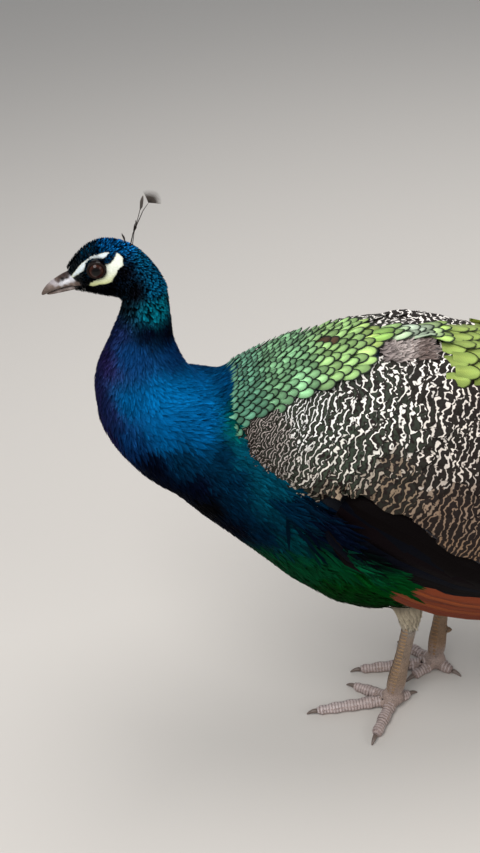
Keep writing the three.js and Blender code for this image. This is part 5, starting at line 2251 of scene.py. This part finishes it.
@dataclass
class Crest:
    """Two fan-tipped feathers and a broken one, on bare shafts.

    Attributes:
        shafts: The line of each shaft in millimetres, and the CAD node that it stands for.
    """

    shafts: tuple = (
        ([(-78, -2, 536), (-75, -2.2, 545), (-71, -2.6, 556), (-60, -3.6, 572), (-54, -4.3, 578.5)], "crest_1"),
        ([(-76, 2, 536), (-74, 2.2, 545), (-71, 2.4, 553), (-66, 3.6, 565), (-63.8, 4.3, 571)], "crest_2"),
        ([(-80.5, 0, 537), (-81, -0.2, 541), (-81.6, -0.5, 545), (-82.2, -0.8, 548), (-82.6, -1, 550)], "crest_3"),
    )

    def build(self) -> None:
        """Makes each shaft with its fan of barbs."""
        for line, node in self.shafts:
            path = np.array(line, float)
            flat = np.array([0.0, 1.0, 0.0]) if node != "crest_2" else np.array([1.0, 0.15, 0.0])
            ribs = [self.hair(path, 0.5)]
            if node != "crest_3":
                ribs += self.fan(path, flat)
            ribs += self.wisps(path)
            points = np.array([rib[0] for rib in ribs])
            widths = np.array([rib[1] for rib in ribs])
            ups = np.tile(flat, (*points.shape[:2], 1))
            tint = np.array([linear(rib[2]) for rib in ribs])
            count = len(ribs)
            vanes = Vanes(
                f"{node}_feather", Outline.HAIR, 3, Rails(metres(points), ups), widths, np.full(count, 10.0),
                tint, np.full(count, 0.5), sink=0.0, rise=0.0, camber=0.0,
            )
            dressed(vanes, CREST, "crest_feathers", node, solid=(0.5, 0.0))

    def hair(self, path: Array, half: float, colour: str = "2a221e") -> tuple[Array, float, str]:
        """Returns a path resampled to a hair's stations, with its half width and colour."""
        shares = Outline.HAIR.shares()
        knots = np.linspace(0, 1, len(path))
        return np.column_stack([np.interp(shares, knots, path[:, i]) for i in range(3)]), half, colour

    def fan(self, path: Array, flat: Array) -> list[tuple[Array, float, str]]:
        """Returns the barbs of the fan at a shaft's end."""
        run = unit(path[-1] - path[-2])
        side = unit(np.cross(run, flat))
        barbs = []
        for turn in np.linspace(-1.0, 1.0, 17):
            way = run * math.cos(turn) + side * math.sin(turn)
            length = 12.0 - 2.5 * abs(turn)
            start = path[-1] - run * 4.0
            line = np.array([start, start + way * length * 0.5, start + way * length + side * turn * 0.8])
            barbs.append(self.hair(line, 0.4, "4c443e"))
        return barbs

    def wisps(self, path: Array) -> list[tuple[Array, float, str]]:
        """Returns the few short barbs that are left along a bare shaft."""
        barbs = []
        knots = np.linspace(0, 1, len(path))
        run = unit(path[-1] - path[0])
        for share, turn in ((0.4, 0.5), (0.44, -0.5), (0.48, 0.4), (0.52, -0.4), (0.46, 0.2), (0.42, -0.3)):
            at = path[0] + (path[-1] - path[0]) * share
            at[0], at[2] = (np.interp(share, knots, path[:, i]) for i in (0, 2))
            way = run + np.array([0.5, 0.0, -0.4]) * turn
            barbs.append(self.hair(np.array([at, at + way * 2, at + way * 4]), 0.5))
        return barbs


# ---------------------------------------------------------------- legs


@dataclass
class Leg:
    """A leg's scutes and claws.

    Attributes:
        side: Left or right.
        heel: The middle of the foot's pad, in millimetres.
        ankle: The top of the shank.
        tips: The claw tips on the floor.
        claw_length: How long each claw is.
    """

    side: str
    heel: tuple[float, float, float]
    ankle: tuple[float, float, float]
    tips: dict[str, tuple[float, float]]
    claw_length: float = 16.0

    def build(self, skin: Surface) -> None:
        """Makes the scutes of shank and toes, and the claws."""
        self.shank_scutes(skin)
        self.toe_scutes(skin)
        self.claws()

    def plates(
        self, name: str, skin: Surface, middles: Array, runs: Array, faces: Array, arc: float, size: Array,
        step: float, colours: Colours, stand: float,
    ) -> Vanes:
        """Wraps plates round a limb, each a little over the next.

        Args:
            name: The piece's name.
            skin: The skin that they lie on.
            middles: Points on the limb's middle line, in millimetres.
            runs: The way along the limb at each.
            faces: The way that each plate faces.
            arc: How far each reaches round the limb, in radians.
            size: The limb's radius at each.
            step: The distance between plates.
            colours: Their colours.
            stand: How far they stand over the skin, in millimetres.

        Returns:
            The vanes, which run round the limb.
        """
        shares = Outline.PLATE.shares()
        turns = (shares - 0.5) * arc
        sides = np.cross(runs, faces)
        ring = faces[:, None] * np.cos(turns)[None, :, None] + sides[:, None] * np.sin(turns)[None, :, None]
        points = metres(middles[:, None] + ring * size[:, None, None] * 1.6)
        flat = points.reshape(-1, 3)
        ways = -ring.reshape(-1, 3)
        for i, (point, way) in enumerate(zip(flat, ways)):
            hit = skin.tree.ray_cast(Vector(point), Vector(way), 0.03)[0]
            if hit is not None:
                flat[i] = hit
        count = len(middles)
        return Vanes(
            name, Outline.PLATE, 5, Rails(flat.reshape(points.shape), ring), np.full(count, step * 0.49),
            size * arc, colours.at(middles), np.full(count, 0.5), sink=stand, rise=0.0, camber=0.15,
        )

    def shank_scutes(self, skin: Surface) -> None:
        """Makes the big plates down the front of the shank and small ones down its back."""
        heel, ankle = np.array(self.heel), np.array(self.ankle)
        step = 4.6
        shares = np.arange(0.1, 0.74, step / np.linalg.norm(ankle - heel))
        middles = heel + (ankle - heel) * shares[:, None]
        runs = np.tile(unit(ankle - heel), (len(shares), 1))
        yellow = Colours(((134, 20, "9a7c58"), (150, 80, "a48258"), (190, 20, "906c44"), (204, 90, "946c40")), 8)
        for name, way, arc in (("front", -1.0, 2.5), ("back", 1.0, 1.7)):
            faces = np.tile(np.array([way, 0.0, 0.17 * way]), (len(shares), 1))
            vanes = self.plates(
                f"shank_scutes_{name}_{self.side}", skin, middles, runs, faces, arc, np.full(len(shares), 8.0), step,
                yellow if way < 0 else LEG_COLOURS, 0.18,
            )
            dressed(vanes, SCUTE, "leg_skin")

    def toe_scutes(self, skin: Surface) -> None:
        """Makes the cross plates along the top of each toe."""
        step = 3.3
        middles, runs, sizes = [], [], []
        for tip in self.tips.values():
            heel, end = np.array([*self.heel[:2], 6.0]), np.array([*tip, 4.4])
            way = unit(end - heel)
            end = end - way * self.claw_length
            length = np.linalg.norm(end - heel)
            for along in np.arange(12.0, length - 1.5, step):
                middles.append(heel + way * along)
                runs.append(way)
                sizes.append(6.4 - 1.6 * along / length)
        faces = np.tile((0.0, 0.0, 1.0), (len(middles), 1))
        pale = Colours(((40, 4, "c0b0ac"), (130, 4, "b4a29c"), (220, 4, "b4a29c")), 10)
        vanes = self.plates(
            f"toe_scutes_{self.side}", skin, np.array(middles), np.array(runs), faces, 3.3, np.array(sizes), step,
            pale, 0.5,
        )
        dressed(vanes, SCUTE, "leg_skin")

    def claws(self) -> None:
        """Makes the blunt, slightly hooked claws from the CAD claws, rounded off."""
        for toe in self.tips:
            node = f"claw_{toe}_{self.side}"
            claw = merged_copy(f"claw_horn_{toe}_{self.side}", [node])
            self.wear(claw, self.tips[toe])
            apply_modifier(claw, "SUBSURF", levels=2, render_levels=2)
            smooth_faces(claw.data)
            claw.data.materials.append(CLAW.material())
            finished(claw, "claw_horn", node)

    def wear(self, claw: Object, tip: tuple[float, float]) -> None:
        """Shortens a claw to three quarters, as it is worn on hard ground."""
        end = np.array([*tip, 0.0])
        way = unit(end - np.array([*self.heel[:2], 0.0]))
        base = end - way * self.claw_length
        spots = millimetres(coordinates(claw.data))
        past = np.clip((spots - base) @ way, 0, None)
        move_vertices(claw.data, metres(spots - way * (past * 0.3)[:, None]))


LEGS = (
    Leg("left", (134.5, -28, 11), (159, -34, 150),
        {"inner": (84, 9), "middle": (35, -32), "outer": (100, -89), "hind": (168, -14)}),
    Leg("right", (190, 22, 11), (206, 30, 150),
        {"inner": (149, -2), "middle": (90, 25), "outer": (152, 70), "hind": (219, -3)}),
)


# ---------------------------------------------------------------- the studio


@dataclass
class Studio:
    """A plain pale floor, soft lights and the camera."""

    lens_mm: float = 45.876
    camera_mm: tuple[float, float, float] = (0.0, -877.0, 870.0)
    pitch_deg: float = 30.70
    roll_deg: float = -5.765

    def build(self) -> None:
        """Sets up the floor, the lights and the camera."""
        self.floor()
        self.lights()
        self.camera()

    def floor(self) -> None:
        """Lays a wide pale floor."""
        bpy.ops.object.select_all(action="DESELECT")
        bpy.ops.mesh.primitive_plane_add(size=14, location=(0, 2, 0))
        floor = bpy.context.object
        floor.name = "studio_floor"
        bpy.ops.object.transform_apply()
        floor.data.materials.append(Finish("Studio floor", 0.9, colour="c9c3bc", mottle=0.0).material())

    def lights(self) -> None:
        """Hangs a broad key light over the bird's left front, with a fill and soft sky."""
        lamps = (
            ("key", (-1.2, -1.4, 2.4), 1.6, 48.0),
            ("top", (0.3, 0.5, 2.8), 2.2, 42.0),
            ("fill", (1.6, -1.6, 1.4), 1.6, 12.0),
        )
        for name, place, size, watts in lamps:
            lamp = bpy.data.lights.new(name, "AREA")
            lamp.shape = "DISK"
            lamp.size = size
            lamp.energy = watts
            held = bpy.data.objects.new(name, lamp)
            held.location = place
            held.rotation_euler = (Vector((-0.4, 0, 0.3)) - Vector(place)).to_track_quat("-Z", "Y").to_euler()
            bpy.context.scene.collection.objects.link(held)
        world = bpy.data.worlds.new("Soft sky")
        world.use_nodes = True
        sky = world.node_tree.nodes["Background"]
        sky.inputs["Color"].default_value = linear("e9eef4")
        sky.inputs["Strength"].default_value = 0.5
        bpy.context.scene.world = world
        bpy.context.scene.view_settings.view_transform = "Standard"

    def camera(self) -> None:
        """Stands the camera over the bird's left side, looking down and slightly rolled."""
        lens = bpy.data.cameras.new("camera")
        lens.lens = self.lens_mm
        lens.sensor_width = 36.0
        lens.clip_start = 0.02
        held = bpy.data.objects.new("camera", lens)
        held.matrix_world = (
            Matrix.Translation(metres(self.camera_mm))
            @ Matrix.Rotation(math.radians(90 - self.pitch_deg), 4, "X")
            @ Matrix.Rotation(math.radians(self.roll_deg), 4, "Z")
        )
        bpy.context.scene.collection.objects.link(held)
        bpy.context.scene.camera = held


def main() -> None:
    """Builds the bird from the skin outwards, then its legs and the studio."""
    logging.basicConfig(level=logging.INFO, format="%(message)s")
    rng = np.random.default_rng(SEED)
    Studio().build()
    skin = Skin()
    skin.build()
    hull = cad_surface("trunk", *FLESH[5:], *TRAIN_NODES, "secondaries_left", "primaries_left")
    coat = Coat(skin, rng)
    BodyPlumage(coat, hull).build()
    back = BackPlumage(coat, skin.surface)
    back.mantle()
    back.down()
    back.strip()
    BackPlumage(coat, Surface([skin.piece.data, *(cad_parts[node].data for node in TRAIN_NODES)])).rump()
    Wings(coat, hull).build()
    form = TrainForm.measured(cad_surface("trunk", *TRAIN_NODES), cad_surface(*TRAIN_NODES))
    Train(coat, form).build()
    Head().build()
    leg_skin = Surface([skin.piece.data])
    for leg in LEGS:
        leg.build(leg_skin)


if __name__ == "__main__":
    main()
